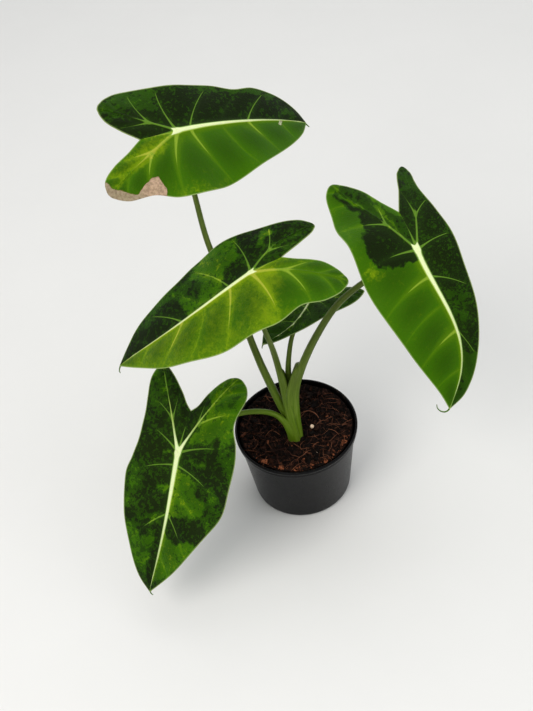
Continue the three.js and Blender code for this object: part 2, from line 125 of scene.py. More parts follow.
# Each leaf. Outlines, veins and patches are flat places, [along, across] in millimetres from the joint:
# along runs down the midrib to the tip and across is positive on its left. Tone runs from 0, the dark
# green, over 0.5, a middle green, to 1, the bright one, and 1.3, a yellow one. A patch is its tone, the
# softness of its edge in millimetres and its outline. Scorch is listed in the same way.
LEAVES = [
    {
        "name": "back_left",
        "joint": (-63, 66, 392),
        "length": 131,
        "heading": 27,
        "droop": 5,
        "arch": 32,
        "lobe_arch": 25,
        "bank": 32,
        "fold": 0.06,
        "curl": 0.08,
        "bow": -4,
        "skew": 1,
        "vein_roots": (11, 65),
        "rib_share": 0.9,
        "lobe_fade": (0.45, 0.95),
        "star_fade": (0.05, 0.35),
        "sinus": (-31, 6),
        "left": {
            "vein_fade": (0.75, 1.1),
            "flank": 0,
            "waves": (2.5, 62, 0.5),
            "lobe": [(-20, 18), (-44, 47)],
            "outer": [(-30, 52), (0, 43), (22, 38), (44, 34), (62, 27), (82, 28), (103, 23), (121, 11)],
            "inner": [(-46, 35), (-40, 20)],
            "tone": 0.08,
            "mottle": 0.34,
            "patches": [
                (0.44, 4.8, [(-47, 47), (-40, 31), (-28, 37), (-17, 30), (-8, 18), (-3, 24), (0, 44),
                             (-22, 56)]),
                (0.02, 3.2, [(-29, 27), (-20, 29), (-10, 20), (-6, 10), (-12, 9), (-22, 17)]),
                (0.05, 3.2, [(-29, 14), (-20, 12), (-4, 3), (-12, 2), (-26, 6)]),
                (0.34, 4, [(0, 43), (20, 38), (44, 34), (53, 27), (40, 27), (20, 31), (4, 34)]),
                (0.46, 4.8, [(54, 27), (80, 29), (102, 25), (96, 20), (74, 23), (58, 24)]),
                (0.5, 4.8, [(100, 3), (120, 0), (118, 8), (106, 10)]),
            ],
        },
        "right": {
            "vein_fade": (0.3, 0.8),
            "flank": -22,
            "waves": (3, 70, 2),
            "lobe": [(-30, -9), (-78, -19)],
            "outer": [(-69, -32), (-45, -40), (-27, -51), (-2, -58), (36, -54), (67, -44), (105, -26),
                      (122, -13)],
            "inner": [(-74, -8), (-60, -2), (-45, 1)],
            "tone": 0.9,
            "mottle": 0.16,
            "patches": [
                (0.72, 9, [(16, -12), (60, -14), (66, -24), (42, -36), (20, -34)]),
                (0.74, 8, [(-30, -18), (-9, -9), (-16, -38), (-34, -30)]),
                (0.72, 12, [(68, -12), (104, -8), (100, -26), (72, -36)]),
                (1.08, 6, [(-72, -4), (-22, 4), (-8, -3), (-20, -14), (-70, -18)]),
                (1.02, 7, [(-30, -46), (20, -52), (30, -60), (-10, -62)]),
            ],
        },
        "scorch": [
            (1.0, 1.6, [(-35, -29), (-40, -27), (-48, -28), (-61, -33), (-58, -38), (-46, -42), (-38, -46),
                        (-34, -40)]),
            (0.8, 1.92, [(-90, -20), (-80, -4), (-73, -9), (-72, -17), (-65, -25), (-60, -32), (-56, -40),
                         (-72, -40)]),
            (1.0, 0.96, [(96, -7), (98, -3), (101, -4), (99, -8)]),
        ],
        "drip": [(131, 0), (134, -1), (136, -1.5)],
        "clump_angle": 140,
        "opening": -20,
        "wing": 0.3,
        "sheath": 44,
        "way": [(-6, -3, 100, 4.3), (-11, 2, 113, 4.1), (-23, 13, 155, 3.7), (-28, 20, 175, 3.4),
                (-40, 44, 222, 3), (-55, 66, 268, 2.7), (-60, 77, 320, 2.4), (-62, 74, 362, 2.3)],
    },
    {
        "name": "middle",
        "joint": (-20, 0, 288),
        "length": 151,
        "heading": -175.5,
        "droop": 19,
        "arch": 25,
        "lobe_arch": 30,
        "bank": -13,
        "fold": 0.1,
        "curl": 0.12,
        "bow": 9,
        "skew": 1,
        "vein_roots": (21, 72),
        "rib_share": 0.75,
        "lobe_fade": (0.4, 0.75),
        "star_fade": (0.05, 0.3),
        "sinus": (-29, -4),
        "left": {
            "vein_fade": (0.5, 1.0),
            "flank": -12,
            "waves": (3.5, 75, 1),
            "lobe": [(-29, 10), (-78, 33)],
            "outer": [(-69, 44), (-56, 48), (-34, 45), (-4, 57), (30, 56), (64, 53), (99, 40), (133, 16)],
            "inner": [(-75, 25), (-61, 10), (-39, 1)],
            "tone": 1.07,
            "mottle": 0.12,
            "patches": [
                (1.18, 8, [(-11, 36), (4, 32), (9, 50), (-8, 58)]),
                (1.02, 8, [(8, 20), (30, 24), (36, 44), (14, 47)]),
                (1.04, 10, [(46, 16), (66, 18), (64, 42), (44, 40)]),
                (0.92, 8, [(-80, 36), (-66, 12), (-40, 2), (-20, 3), (-16, 42), (-40, 52), (-70, 50)]),
                (1.2, 8, [(-20, 6), (-2, 4), (-6, 26), (-20, 22)]),
            ],
        },
        "right": {
            "vein_fade": (0.7, 1.1),
            "flank": 8,
            "waves": (2.5, 60, 0),
            "lobe": [(-24, -16), (-61, -29)],
            "outer": [(-53, -35), (-35, -39), (-6, -43), (28, -41), (48, -38), (67, -29), (108, -21),
                      (135, -8)],
            "inner": [(-59, -23), (-46, -13)],
            "tone": 0.28,
            "mottle": 0.5,
            "patches": [
                (0.0, 2.4, [(3, 1), (22, 3), (25, -4), (20, -14), (8, -16), (4, -10)]),
                (0.8, 3.2, [(3, -20), (8, -17), (20, -16), (26, -2), (40, -12), (54, -24), (48, -34),
                            (40, -41), (9, -41), (4, -32)]),
                (0.1, 3.2, [(-2, -8), (-20, -16), (-36, -17), (-56, -24), (-60, -33), (-30, -41), (3, -44),
                            (3, -26)]),
                (0.95, 2.56, [(-25, -36), (-26, -31), (-20, -28), (-18, -21), (-14, -22), (-14, -32),
                              (-18, -37)]),
                (0.55, 3.2, [(-14, -10), (-24, -12), (-50, -20), (-58, -27), (-40, -21), (-22, -18)]),
                (0.72, 3.2, [(24, 2), (66, 10), (69, -2), (70, -13), (62, -22), (52, -19), (40, -12)]),
                (0.2, 4.8, [(44, -8), (54, -4), (62, -14), (54, -21), (46, -14)]),
                (0.02, 1.92, [(66, 12), (80, 12), (112, 9), (146, 1), (136, -8), (112, -19), (96, -13),
                              (84, -17), (72, -14), (68, -4)]),
                (0.48, 4.8, [(98, -9), (110, -8), (118, -14), (104, -19), (98, -16)]),
                (0.48, 3.2, [(70, -17), (86, -18), (112, -21), (100, -28), (72, -28)]),
            ],
        },
        "scorch": [],
        "drip": [(151, 0), (153, 1), (154.5, 3), (154, 5)],
        "clump_angle": 285,
        "opening": 0,
        "wing": 0.8,
        "sheath": 92,
        "way": [(-4, -8, 107, 4.4), (-6, 2, 132, 4), (-8, 7, 155, 3.4), (-12, 1, 197, 2.6),
                (-16, 0, 220, 2.3), (-19, 0, 257, 2.2)],
    },
    {
        "name": "right",
        "joint": (120, 0, 288),
        "length": 137,
        "heading": -84,
        "droop": 31.5,
        "arch": 30,
        "lobe_arch": 30,
        "bank": 0,
        "fold": 0.08,
        "curl": 0.06,
        "bow": 18,
        "skew": 1.4,
        "vein_roots": (24, 72),
        "rib_share": 1.0,
        "lobe_fade": (0.35, 0.8),
        "star_fade": (0.05, 0.3),
        "sinus": (-38, -6),
        "left": {
            "vein_fade": (0.75, 1.1),
            "flank": -9,
            "waves": (3, 66, 0.8),
            "lobe": [(-38, 8), (-89, 11)],
            "outer": [(-81, 15), (-58, 17), (-34, 25), (-12, 32), (17, 35), (48, 38), (78, 35), (108, 26),
                      (127, 14)],
            "inner": [(-82, 5), (-60, 0)],
            "tone": 0.22,
            "mottle": 0.22,
            "patches": [
                (0.34, 6, [(36, 12), (68, 16), (70, 30), (52, 38), (38, 28)]),
                (0.44, 4, [(88, 17), (120, 11), (137, 1), (128, 16), (110, 28), (94, 33)]),
                (0.34, 4, [(-92, 10), (-70, 17), (-52, 16), (-58, 3), (-80, 4)]),
            ],
        },
        "right": {
            "vein_fade": (0.3, 0.75),
            "flank": 12,
            "waves": (3.5, 80, 2.2),
            "lobe": [(-39, -28), (-79, -54)],
            "outer": [(-71, -61), (-50, -61), (-30, -61), (-13, -56), (20, -50), (54, -39), (83, -26),
                      (122, -6)],
            "inner": [(-76, -43), (-67, -30), (-50, -17)],
            "tone": 0.88,
            "mottle": 0.2,
            "patches": [
                (0.05, 1.6, [(0, 1), (8, -1), (11, -14), (11, -24), (8, -38), (2, -38), (-4, -42),
                             (-18, -42), (-30, -40), (-42, -41), (-46, -36), (-36, -28), (-28, -20),
                             (-16, -12)]),
                (0.34, 3.2, [(-2, 1), (-30, -1), (-38, -14), (-54, -24), (-72, -34), (-78, -46), (-70, -50),
                             (-54, -36), (-30, -20), (-14, -11)]),
                (0.7, 3.2, [(-12, -7), (-30, -12), (-44, -18), (-58, -28), (-48, -27), (-26, -16)]),
                (0.12, 2.4, [(-28, -20), (-40, -27), (-52, -38), (-66, -50), (-74, -53), (-68, -55),
                             (-50, -44), (-38, -30)]),
                (1.1, 4, [(8, -36), (18, -32), (18, -47), (6, -45)]),
                (0.8, 9, [(30, -8), (56, -28), (40, -40), (22, -30)]),
                (0.76, 8, [(80, 10), (110, 4), (118, -8), (90, -20)]),
            ],
        },
        "scorch": [],
        "drip": [(137, 0), (139, -3), (138, -7), (134, -10), (131, -10)],
        "clump_angle": 352,
        "opening": 166,
        "wing": 1.3,
        "sheath": 98,
        "way": [(1, -6, 107, 4.6), (3, 1, 132, 4.6), (10, 4, 155, 4.3), (27, 8, 191, 3.5), (50, 11, 227, 3),
                (72, 9, 250, 2.7), (96, 7, 267, 2.4), (112, 4, 278, 2.3)],
    },
    {
        "name": "front_left",
        "joint": (-108, -60, 140),
        "length": 133,
        "heading": -119.5,
        "droop": 34,
        "arch": 25,
        "lobe_arch": 25,
        "bank": 0,
        "fold": 0.1,
        "curl": 0.05,
        "bow": 5,
        "skew": 1,
        "vein_roots": (11, 55),
        "rib_share": 1.1,
        "lobe_fade": (0.8, 1.1),
        "star_fade": (0.45, 1.05),
        "sinus": (-40, -2),
        "left": {
            "vein_fade": (0.45, 0.9),
            "flank": -14,
            "waves": (3, 70, 0),
            "lobe": [(-33, 11), (-82, 29)],
            "outer": [(-76, 39), (-62, 46), (-36, 44), (-19, 51), (12, 59), (40, 57), (68, 44), (107, 21)],
            "inner": [(-79, 20), (-60, 8), (-46, 3)],
            "tone": 0.14,
            "mottle": 0.5,
            "patches": [
                (0.8, 2.4, [(-86, 30), (-78, 41), (-60, 48), (-40, 45), (-24, 48), (-16, 45), (-14, 40),
                            (-20, 36), (-16, 28), (-12, 18), (-8, 7), (-24, 11), (-48, 16), (-54, 10),
                            (-62, 10), (-80, 18)]),
                (0.03, 1.92, [(-50, 14), (-44, 13), (-20, 8), (-2, 2), (-20, 0), (-40, 1), (-56, 8),
                              (-54, 12)]),
                (0.04, 1.6, [(-20, 30), (-14, 28), (-12, 36), (-20, 37)]),
                (0.1, 2.4, [(-10, 12), (-4, 1), (2, 2), (14, 3), (14, 8), (20, 30), (22, 44), (10, 52),
                            (2, 44), (-6, 38), (-10, 24)]),
                (0.62, 1.92, [(1, 10), (6, 12), (8, 30), (3, 32)]),
                (0.46, 3.2, [(-20, 40), (-8, 38), (2, 46), (12, 60), (-18, 56)]),
                (0.5, 3.2, [(15, 12), (20, 30), (24, 48), (34, 52), (34, 44), (26, 34), (20, 20)]),
                (0.8, 1.6, [(12, 1), (54, 3), (56, 12), (54, 30), (48, 38), (42, 36), (36, 42), (32, 30),
                            (21, 26), (16, 14)]),
                (0.4, 3.2, [(38, 42), (48, 38), (56, 42), (62, 46), (44, 56), (34, 58)]),
                (0.8, 1.92, [(68, 3), (84, 2), (104, 0), (124, -1), (118, 14), (100, 26), (86, 34),
                             (72, 44), (73, 30), (79, 24), (77, 13)]),
                (0.03, 1.6, [(57, 12), (64, 5), (72, 8), (77, 14), (78, 24), (72, 32), (74, 40), (60, 44),
                             (52, 38), (58, 32), (56, 22)]),
                (0.36, 3.2, [(112, 16), (124, 2), (134, 0), (124, 12)]),
            ],
        },
        "right": {
            "vein_fade": (0.45, 0.9),
            "flank": -18,
            "waves": (3, 64, 1.5),
            "lobe": [(-30, -17), (-75, -46)],
            "outer": [(-62, -50), (-42, -48), (-20, -43), (-2, -40), (14, -42), (30, -46), (58, -38),
                      (92, -27), (120, -12)],
            "inner": [(-71, -36), (-55, -17), (-45, -8)],
            "tone": 0.12,
            "mottle": 0.5,
            "patches": [
                (0.42, 4, [(-76, -46), (-60, -30), (-40, -27), (-30, -30), (-36, -44), (-56, -52)]),
                (0.72, 3.2, [(-76, -47), (-66, -42), (-58, -47), (-60, -54)]),
                (0.62, 1.92, [(0, 0), (4, 0), (4, -14), (1, -14)]),
                (0.72, 1.92, [(30, 0), (37, 0), (37, -10), (31, -9)]),
                (0.44, 4.8, [(12, -24), (24, -30), (36, -26), (50, -30), (60, -22), (58, -38), (34, -48),
                             (18, -45)]),
                (0.58, 3.2, [(56, 3), (66, -4), (72, -10), (70, -20), (64, -24), (60, -18), (57, -8)]),
                (0.66, 3.2, [(70, -24), (74, -2), (92, 2), (108, -2), (122, -4), (106, -22), (88, -32),
                             (72, -35)]),
                (0.08, 2.4, [(64, -12), (80, -10), (80, -18), (70, -24), (66, -18)]),
                (0.06, 1.92, [(62, 6), (86, 6), (110, 3), (120, 0), (104, -6), (90, -3), (76, -2),
                              (68, -4)]),
            ],
        },
        "scorch": [],
        "drip": [(133, 0), (135, 1), (136, 3)],
        "clump_angle": 212,
        "opening": 20,
        "wing": 0.4,
        "sheath": 40,
        "way": [(-6, -12.5, 92, 4.1), (-10, -9, 103, 3.6), (-17, -6, 111, 2.9), (-30, -8, 121, 2.6),
                (-53, -16, 131, 2.4), (-78, -33, 134, 2.4), (-99, -51, 131, 2.4)],
    },
    {
        "name": "inner",
        "joint": (30, 50, 200),
        "length": 62,
        "heading": -148,
        "droop": 12,
        "arch": 8,
        "lobe_arch": 15,
        "bank": 6,
        "fold": 0.08,
        "curl": 0.04,
        "bow": 9,
        "skew": 1,
        "vein_roots": (9, 26),
        "rib_share": 0.6,
        "lobe_fade": (0.3, 0.8),
        "star_fade": (0.05, 0.3),
        "sinus": (-20, 4),
        "left": {
            "vein_fade": (0.4, 0.9),
            "flank": -4,
            "waves": (2, 45, 0),
            "lobe": [(-16, 14), (-37, 34)],
            "outer": [(-28, 38), (-7, 32), (20, 24), (37, 17), (54, 8)],
            "inner": [(-36, 24), (-29, 12)],
            "tone": 0.46,
            "mottle": 0.4,
            "patches": [
                (0.5, 3.2, [(14, 5), (34, 9), (54, 6), (52, 0), (24, 0)]),
                (0.4, 4.8, [(-8, 20), (8, 18), (10, 30), (-6, 32)]),
            ],
        },
        "right": {
            "vein_fade": (0.4, 0.9),
            "flank": -2,
            "waves": (2, 50, 1),
            "lobe": [(-18, -8), (-38, -22)],
            "outer": [(-29, -28), (-6, -29), (18, -27), (40, -18), (54, -8)],
            "inner": [(-34, -11), (-26, -1)],
            "tone": 0.46,
            "mottle": 0.4,
            "patches": [
                (0.46, 3.2, [(20, 4), (44, 4), (50, -4), (26, -12)]),
            ],
        },
        "scorch": [],
        "drip": [(62, 0), (63.5, 0.6), (64.5, 1.6)],
        "clump_angle": 75,
        "opening": 0,
        "wing": 0,
        "sheath": 0,
        "way": [(-1, 1, 112, 4), (-1, 10, 140, 3.2), (2, 17, 163, 2.4), (9, 27, 184, 2.1),
                (20, 41, 191, 2)],
    },
]


def paint(red, green, blue):
    """A display colour from 0 to 255 as the linear one that shaders take"""
    linear = []
    for value in (red, green, blue):
        share = value / 255
        linear.append(share / 12.92 if share <= 0.04045 else ((share + 0.055) / 1.055) ** 2.4)
    return (*linear, 1.0)


def colour_property(name, description, default):
    """A colour that the panel shows"""
    return FloatVectorProperty(
        name=name, description=description, default=default, size=4, min=0, max=1, subtype="COLOR"
    )


class PotSettings(PropertyGroup):
    """The nursery pot"""

    plastic: colour_property("Plastic", "Colour of the pot's plastic", paint(5, 5, 6))
    dust: colour_property("Dust", "Dried mix smeared on the plastic", paint(92, 74, 60))
    edge_round: FloatProperty(
        name="Edge round", description="Radius of the moulded edges", default=0.45 * MM, unit="LENGTH"
    )
    sides: IntProperty(name="Sides", description="Faces round the pot", default=128, min=24)


class MixSettings(PropertyGroup):
    """The potting mix"""

    damp: colour_property("Damp mix", "Colour of the damp mix", paint(13, 8, 6))
    bark: colour_property("Bark", "Colour of the lighter chips of bark", paint(158, 92, 60))
    fibre: colour_property("Fibre", "Colour of the fibres of coir", paint(140, 88, 62))
    pellet: colour_property("Pellet", "Colour of the feed pellets", paint(236, 206, 176))
    chip_count: IntProperty(
        name="Chips", description="How many chips of bark lie on top", default=1300, min=0
    )
    crumb_count: IntProperty(
        name="Crumbs", description="How many small crumbs lie on top", default=3400, min=0
    )
    fibre_count: IntProperty(name="Fibres", description="How many fibres lie on top", default=480, min=0)
    seed: IntProperty(name="Seed", description="Which scatter of chips is used", default=7)


class StalkSettings(PropertyGroup):
    """The leaf stalks"""

    foot: colour_property("Foot", "Colour of the stalks at their foot", paint(82, 112, 8))
    upper: colour_property("Upper part", "Colour of the stalks higher up", paint(70, 84, 30))
    fleck: colour_property("Flecks", "Colour of the darker flecks", paint(64, 88, 34))
    sides: IntProperty(name="Sides", description="Faces round a stalk", default=48, min=12)
    steps: IntProperty(name="Steps", description="Rings along a stalk", default=200, min=40)


class BladeSettings(PropertyGroup):
    """The leaf blades"""

    dark: colour_property("Dark green", "Velvety green of the dark parts", paint(12, 22, 9))
    middle: colour_property("Middle green", "Green of the mottled parts", paint(35, 68, 5))
    bright: colour_property("Bright green", "Green of the bright parts", paint(56, 98, 2))
    yellow: colour_property("Yellow green", "Green of the palest parts", paint(124, 148, 10))
    glow_dark: colour_property(
        "Near a vein, dark", "Green beside the veins of the dark parts", paint(30, 56, 10)
    )
    glow_bright: colour_property(
        "Near a vein, bright", "Green beside the veins of the bright parts", paint(86, 120, 5)
    )
    vein: colour_property("Veins", "Colour of the side veins in the bright parts", paint(142, 168, 50))
    vein_dark: colour_property(
        "Veins, dark", "Colour of the side veins in the dark parts", paint(94, 132, 40)
    )
    margin: colour_property("Margin", "Colour of the thin line along the margin", paint(156, 172, 108))
    rib: colour_property("Midrib", "Colour of the midrib", paint(222, 232, 176))
    dry: colour_property("Dry patch", "Colour where the blade has dried", paint(182, 152, 128))
    thickness: FloatProperty(
        name="Thickness",
        description="Thickness of a blade between its veins",
        default=0.5 * MM,
        unit="LENGTH",
    )
    rows: IntProperty(name="Rows", description="Rows of faces from joint to tip", default=144, min=20)
    columns: IntProperty(name="Columns", description="Faces from midrib to margin", default=40, min=8)


class StageSettings(PropertyGroup):
    """Floor, lights and camera"""

    floor: colour_property("Floor", "Colour of the floor", paint(226, 225, 222))
    key_power: FloatProperty(
        name="Key light", description="Power of the main soft light", default=21, unit="POWER"
    )
    fill_power: FloatProperty(
        name="Fill light", description="Power of the soft light opposite it", default=6, unit="POWER"
    )
    top_power: FloatProperty(
        name="Top light", description="Power of the soft light overhead", default=6, unit="POWER"
    )


# Curves and places in numpy arrays, a row for each point


class Route:
    """A smooth curve through some points, whose places are found by their share of its length"""

    def __init__(self, points, fine=60):
        points = np.array(points, float)
        ends = [2 * points[0] - points[1], *points, 2 * points[-1] - points[-2]]
        places = []
        knots = []
        for k in range(len(points) - 1):
            p0, p1, p2, p3 = ends[k : k + 4]
            gaps = [np.sqrt(np.linalg.norm(b - a)) for a, b in ((p0, p1), (p1, p2), (p2, p3))]
            first = (p1 - p0) / gaps[0] - (p2 - p0) / (gaps[0] + gaps[1]) + (p2 - p1) / gaps[1]
            second = (p2 - p1) / gaps[1] - (p3 - p1) / (gaps[1] + gaps[2]) + (p3 - p2) / gaps[2]
            t = np.linspace(0, 1, fine, endpoint=False)[:, None]
            start, end = first * gaps[1], second * gaps[1]
            square = -3 * p1 + 3 * p2 - 2 * start - end
            cube = 2 * p1 - 2 * p2 + start + end
            places.append(p1 + start * t + square * t**2 + cube * t**3)
            knots.append(k + t[:, 0])
        self.places = np.vstack([*places, points[-1]])
        self.knots = np.append(np.concatenate(knots), len(points) - 1)
        steps = np.linalg.norm(np.diff(self.places, axis=0), axis=1)
        self.length = steps.sum()
        self.shares = np.append(0, np.cumsum(steps)) / self.length

    def at(self, share):
        """Places at some shares of the length"""
        return np.column_stack([np.interp(share, self.shares, column) for column in self.places.T])

    def knot(self, share):
        """Which given point, counted in parts, lies at some shares of the length"""
        return np.interp(share, self.shares, self.knots)

    def share_where(self, misfit):
        """The share of the length at which a place misses least"""
        return self.shares[np.argmin(misfit(self.places))]


def ease(low, high, value):
    """From 0 at low to 1 at high, with level ends"""
    share = np.clip((value - low) / (high - low), 0, 1)
    return share * share * (3 - 2 * share)


def closeness(points, path, half_widths, fade=(2, 3), faintness=0):
    """Distance of each point from a path, counted in the path's own half width at the nearest place

    A line fades out between the two shares of its length in fade, and is fainter all along by faintness.
    """
    widths = np.interp(np.linspace(0, 1, len(path)), np.linspace(0, 1, len(half_widths)), half_widths)
    start, span = path[:-1], np.diff(path, axis=0)
    out = points[:, None, :] - start[None]
    share = np.clip((out * span).sum(2) / np.maximum((span * span).sum(1), 1e-9), 0, 1)
    gap = np.linalg.norm(out - share[:, :, None] * span[None], axis=2)
    along = (np.arange(len(span)) + share) / len(span)
    counted = gap / (widths[:-1] + share * np.diff(widths)) + faintness + 3 * ease(*fade, along)
    return counted.min(axis=1)


def merged_closeness(fields, sharpness=2.2):
    """The nearest of several closeness fields, rounded off where two lines meet"""
    total = sum(np.exp(-sharpness * np.minimum(field, 40)) for field in fields)
    return np.maximum(-np.log(total + 1e-30) / sharpness, 0)


# The shape of a blade


def midrib_offset(leaf, along):
    """How far across the midrib runs"""
    share = np.clip(along / leaf["length"], 0, 1)
    return leaf["bow"] * np.sin(np.pi * share ** leaf["skew"])


def blade_frame(leaf, along):
    """The arc that the blade follows, as place, direction across and normal"""
    tip_bend = math.radians(leaf["arch"]) / leaf["length"]
    lobe_bend = math.radians(leaf["lobe_arch"]) / LOBE_SPAN
    bend = np.where(along >= 0, tip_bend, lobe_bend)
    start = math.radians(leaf["droop"])
    slope = start + bend * along
    ahead = (np.sin(slope) - math.sin(start)) / bend
    up = (np.cos(slope) - math.cos(start)) / bend
    heading = math.radians(leaf["heading"])
    forward = np.array([math.cos(heading), math.sin(heading), 0])
    upward = np.array([0, 0, 1])
    tangent = forward * np.cos(slope)[:, None] - upward * np.sin(slope)[:, None]
    level = np.broadcast_to([-forward[1], forward[0], 0], tangent.shape)
    bank = math.radians(leaf["bank"])
    lateral = level * math.cos(bank) + np.cross(tangent, level) * math.sin(bank)
    place = np.array(leaf["joint"]) + forward * ahead[:, None] + upward * up[:, None]
    return place, lateral, np.cross(tangent, lateral)


def blade_points(leaf, flat, rise):
    """Flat places of a leaf as places in the scene, raised by rise off its surface, in millimetres"""
    along, across = flat[:, 0], flat[:, 1]
    place, lateral, normal = blade_frame(leaf, along)
    offset = across - midrib_offset(leaf, along)
    width = np.sqrt(offset**2 + CREASE**2) - CREASE
    waves = [leaf[side]["waves"] for side in ("left", "right")]
    height, length, phase = [np.where(offset >= 0, a, b) for a, b in zip(*waves)]
    wave = height * (width / HALF_WIDTH) ** 2 * np.sin(2 * np.pi * along / length + phase)
    lift = leaf["fold"] * width - leaf["curl"] * width**2 / HALF_WIDTH + wave + rise
    return place + lateral * across[:, None] + normal * lift[:, None]


def root_along(leaf, share):
    """How far down the midrib a row starts that meets the margin at a share of its length"""
    first, second = leaf["vein_roots"]
    near = first * (np.minimum(share, FIRST_VEIN) / FIRST_VEIN) ** MIDRIB_SPREAD
    far = np.interp(share, [FIRST_VEIN, SECOND_VEIN, 1], [first, second, leaf["length"]])
    return np.where(share < FIRST_VEIN, near, far)


def row_points(root, margin, share):
    """Places on the rows from the skeleton to the margin, each row bowed back a little"""
    reach = np.linalg.norm(margin - root, axis=1)
    places = root + (margin - root) * share[:, None]
    places[:, 0] -= ROW_CURVE * reach * 4 * share * (1 - share)
    return places, reach


def sectors(leaf):
    """The six sheets of a leaf: its side, vein shares, the two ends of a row by its share, and its turn"""
    found = []
    for side in ("left", "right"):
        shape = leaf[side]
        lobe = Route([(0, 0), *shape["lobe"]])
        lobe_end = shape["lobe"][-1]
        tip = (leaf["length"], 0)
        edge = Route([leaf["sinus"], *reversed(shape["inner"]), lobe_end, *shape["outer"], tip])
        turn = edge.share_where(lambda places: np.linalg.norm(places - lobe_end, axis=1))
        flank = edge.share_where(lambda places: np.abs(places[:, 0] - shape["flank"]))

        def midrib_root(share):
            along = root_along(leaf, share)
            return np.column_stack([along, midrib_offset(leaf, along)])

        def lobe_root(share, lobe=lobe):
            return lobe.at(share**LOBE_SPREAD)

        def ahead(share, edge=edge, flank=flank):
            return edge.at(flank + (1 - flank) * share)

        def behind(share, edge=edge, flank=flank, turn=turn):
            return edge.at(flank + (turn - flank) * share)

        def inside(share, edge=edge, turn=turn):
            return edge.at(turn * share)

        is_left = side == "left"
        for veins, root, margin, up in (
            (MIDRIB_VEINS, midrib_root, ahead, is_left),
            (LOBE_VEINS, lobe_root, behind, not is_left),
            (LOBE_VEINS, lobe_root, inside, is_left),
        ):
            found.append({"side": side, "veins": veins, "root": root, "margin": margin, "up": up})
    return found


def leaf_lines(leaf):
    """The lines of a leaf as flat paths with half widths: ribs, white lines, veins and outline"""
    share = np.linspace(0, 1, LINE_POINTS)
    along = leaf["length"] * share
    midrib = np.column_stack([along, midrib_offset(leaf, along)])
    thinner = leaf["rib_share"]
    ribs = [(midrib, MIDRIB_WIDTHS)]
    white = [(midrib, [thinner * width for width in MIDRIB_WIDTHS])]
    veins = []
    outline = []
    for sector in sectors(leaf):
        is_lobe = sector["veins"] is LOBE_VEINS
        main = MAIN_LOBE_VEINS if is_lobe else MAIN_VEINS
        if is_lobe:
            lobe = sector["root"](share)
            ribs.append((lobe, LOBE_WIDTHS))
            white.append((lobe, [thinner * width for width in STAR_WIDTHS], leaf["star_fade"]))
            veins.append((lobe, LOBE_VEIN_WIDTHS, leaf["lobe_fade"]))
        for vein in sector["veins"][:-1]:
            ends = [sector[end](np.full(VEIN_POINTS, vein)) for end in ("root", "margin")]
            path = row_points(ends[0], ends[1], np.linspace(0, 1, VEIN_POINTS))[0]
            fade = leaf[sector["side"]]["vein_fade"]
            if vein in main:
                veins.append((path, MAIN_VEIN_WIDTHS, fade))
            else:
                veins.append((path, MINOR_VEIN_WIDTHS, fade, MINOR_VEIN_FAINTNESS))
        outline.append((sector["margin"](share), (1, 1)))
    return ribs, white, veins, outline


def depth_inside(points, outline):
    """How far inside a closed outline each point is, less than nothing outside it"""
    start = np.array(outline, float)
    span = np.roll(start, -1, axis=0) - start
    out = points[:, None, :] - start[None]
    share = np.clip((out * span).sum(2) / (span * span).sum(1), 0, 1)
    gap = np.linalg.norm(out - share[:, :, None] * span[None], axis=2).min(axis=1)
    level = np.where(span[:, 1] == 0, 1e-9, span[:, 1])
    rising = (out[:, :, 1] >= 0) != (out[:, :, 1] >= span[:, 1])
    left_of = out[:, :, 0] < out[:, :, 1] * span[:, 0] / level
    is_inside = (rising & left_of).sum(axis=1) % 2 == 1
    return np.where(is_inside, gap, -gap)


def ragged(flat, amount):
    """Flat places pushed about by noise at two scales, so that outlines drawn on them come out ragged"""
    pushed = []
    for along, across in flat:
        broad = [noise.noise((0.11 * along, 0.16 * across, layer)) for layer in (3.1, 31.7)]
        fine = [noise.noise((0.3 * along, 0.45 * across, layer)) for layer in (8.7, 58.3)]
        pushed.append((broad[0] + 0.6 * fine[0], broad[1] + 0.6 * fine[1]))
    return flat + amount * np.array(pushed)


def patch_field(patches, flat, base):
    """A value all over a leaf: the base value, and over it each patch's own value in turn"""
    values = np.full(len(flat), float(base))
    for value, softness, outline in patches:
        weight = ease(-softness, softness, depth_inside(flat, outline))
        values += (value - values) * weight
    return values


# Mesh tools


def only(*pieces):
    """Selects these objects alone, the last of them active"""
    bpy.ops.object.select_all(action="DESELECT")
    for piece in pieces:
        piece.select_set(True)
        bpy.context.view_layer.objects.active = piece


def in_edit_mode(piece, work):
    """Runs some steps on a piece in edit mode, with all of its mesh selected"""
    only(piece)
    bpy.ops.object.mode_set(mode="EDIT")
    bpy.ops.mesh.select_all(action="SELECT")
    work()
    bpy.ops.object.mode_set(mode="OBJECT")


def places_of(piece):
    """The places of a piece's vertices"""
    places = np.zeros(len(piece.data.vertices) * 3, np.float32)
    piece.data.vertices.foreach_get("co", places)
    return places.reshape(-1, 3).astype(float)


def put(piece, places):
    """Moves a piece's vertices to new places, in metres"""
    piece.data.vertices.foreach_set("co", np.ascontiguousarray(places, np.float32).ravel())
    piece.data.update()


def write_field(piece, name, values):
    """Keeps a vector for each vertex under a name that the materials read"""
    field = piece.data.attributes.new(name, "FLOAT_VECTOR", "POINT")
    field.data.foreach_set("vector", np.ascontiguousarray(values, np.float32).ravel())


def read_field(piece, name):
    """The vectors kept for each vertex under a name"""
    values = np.zeros(len(piece.data.vertices) * 3, np.float32)
    piece.data.attributes[name].data.foreach_get("vector", values)
    return values.reshape(-1, 3).astype(float)


def new_grid(name, rows, columns):
    """A flat grid, and how far along its rows and columns each vertex is"""
    bpy.ops.object.select_all(action="DESELECT")
    bpy.ops.mesh.primitive_grid_add(x_subdivisions=rows, y_subdivisions=columns, size=1)
    piece = bpy.context.object
    piece.name = name
    share = places_of(piece)[:, :2] + 0.5
    return piece, share[:, 0], share[:, 1]


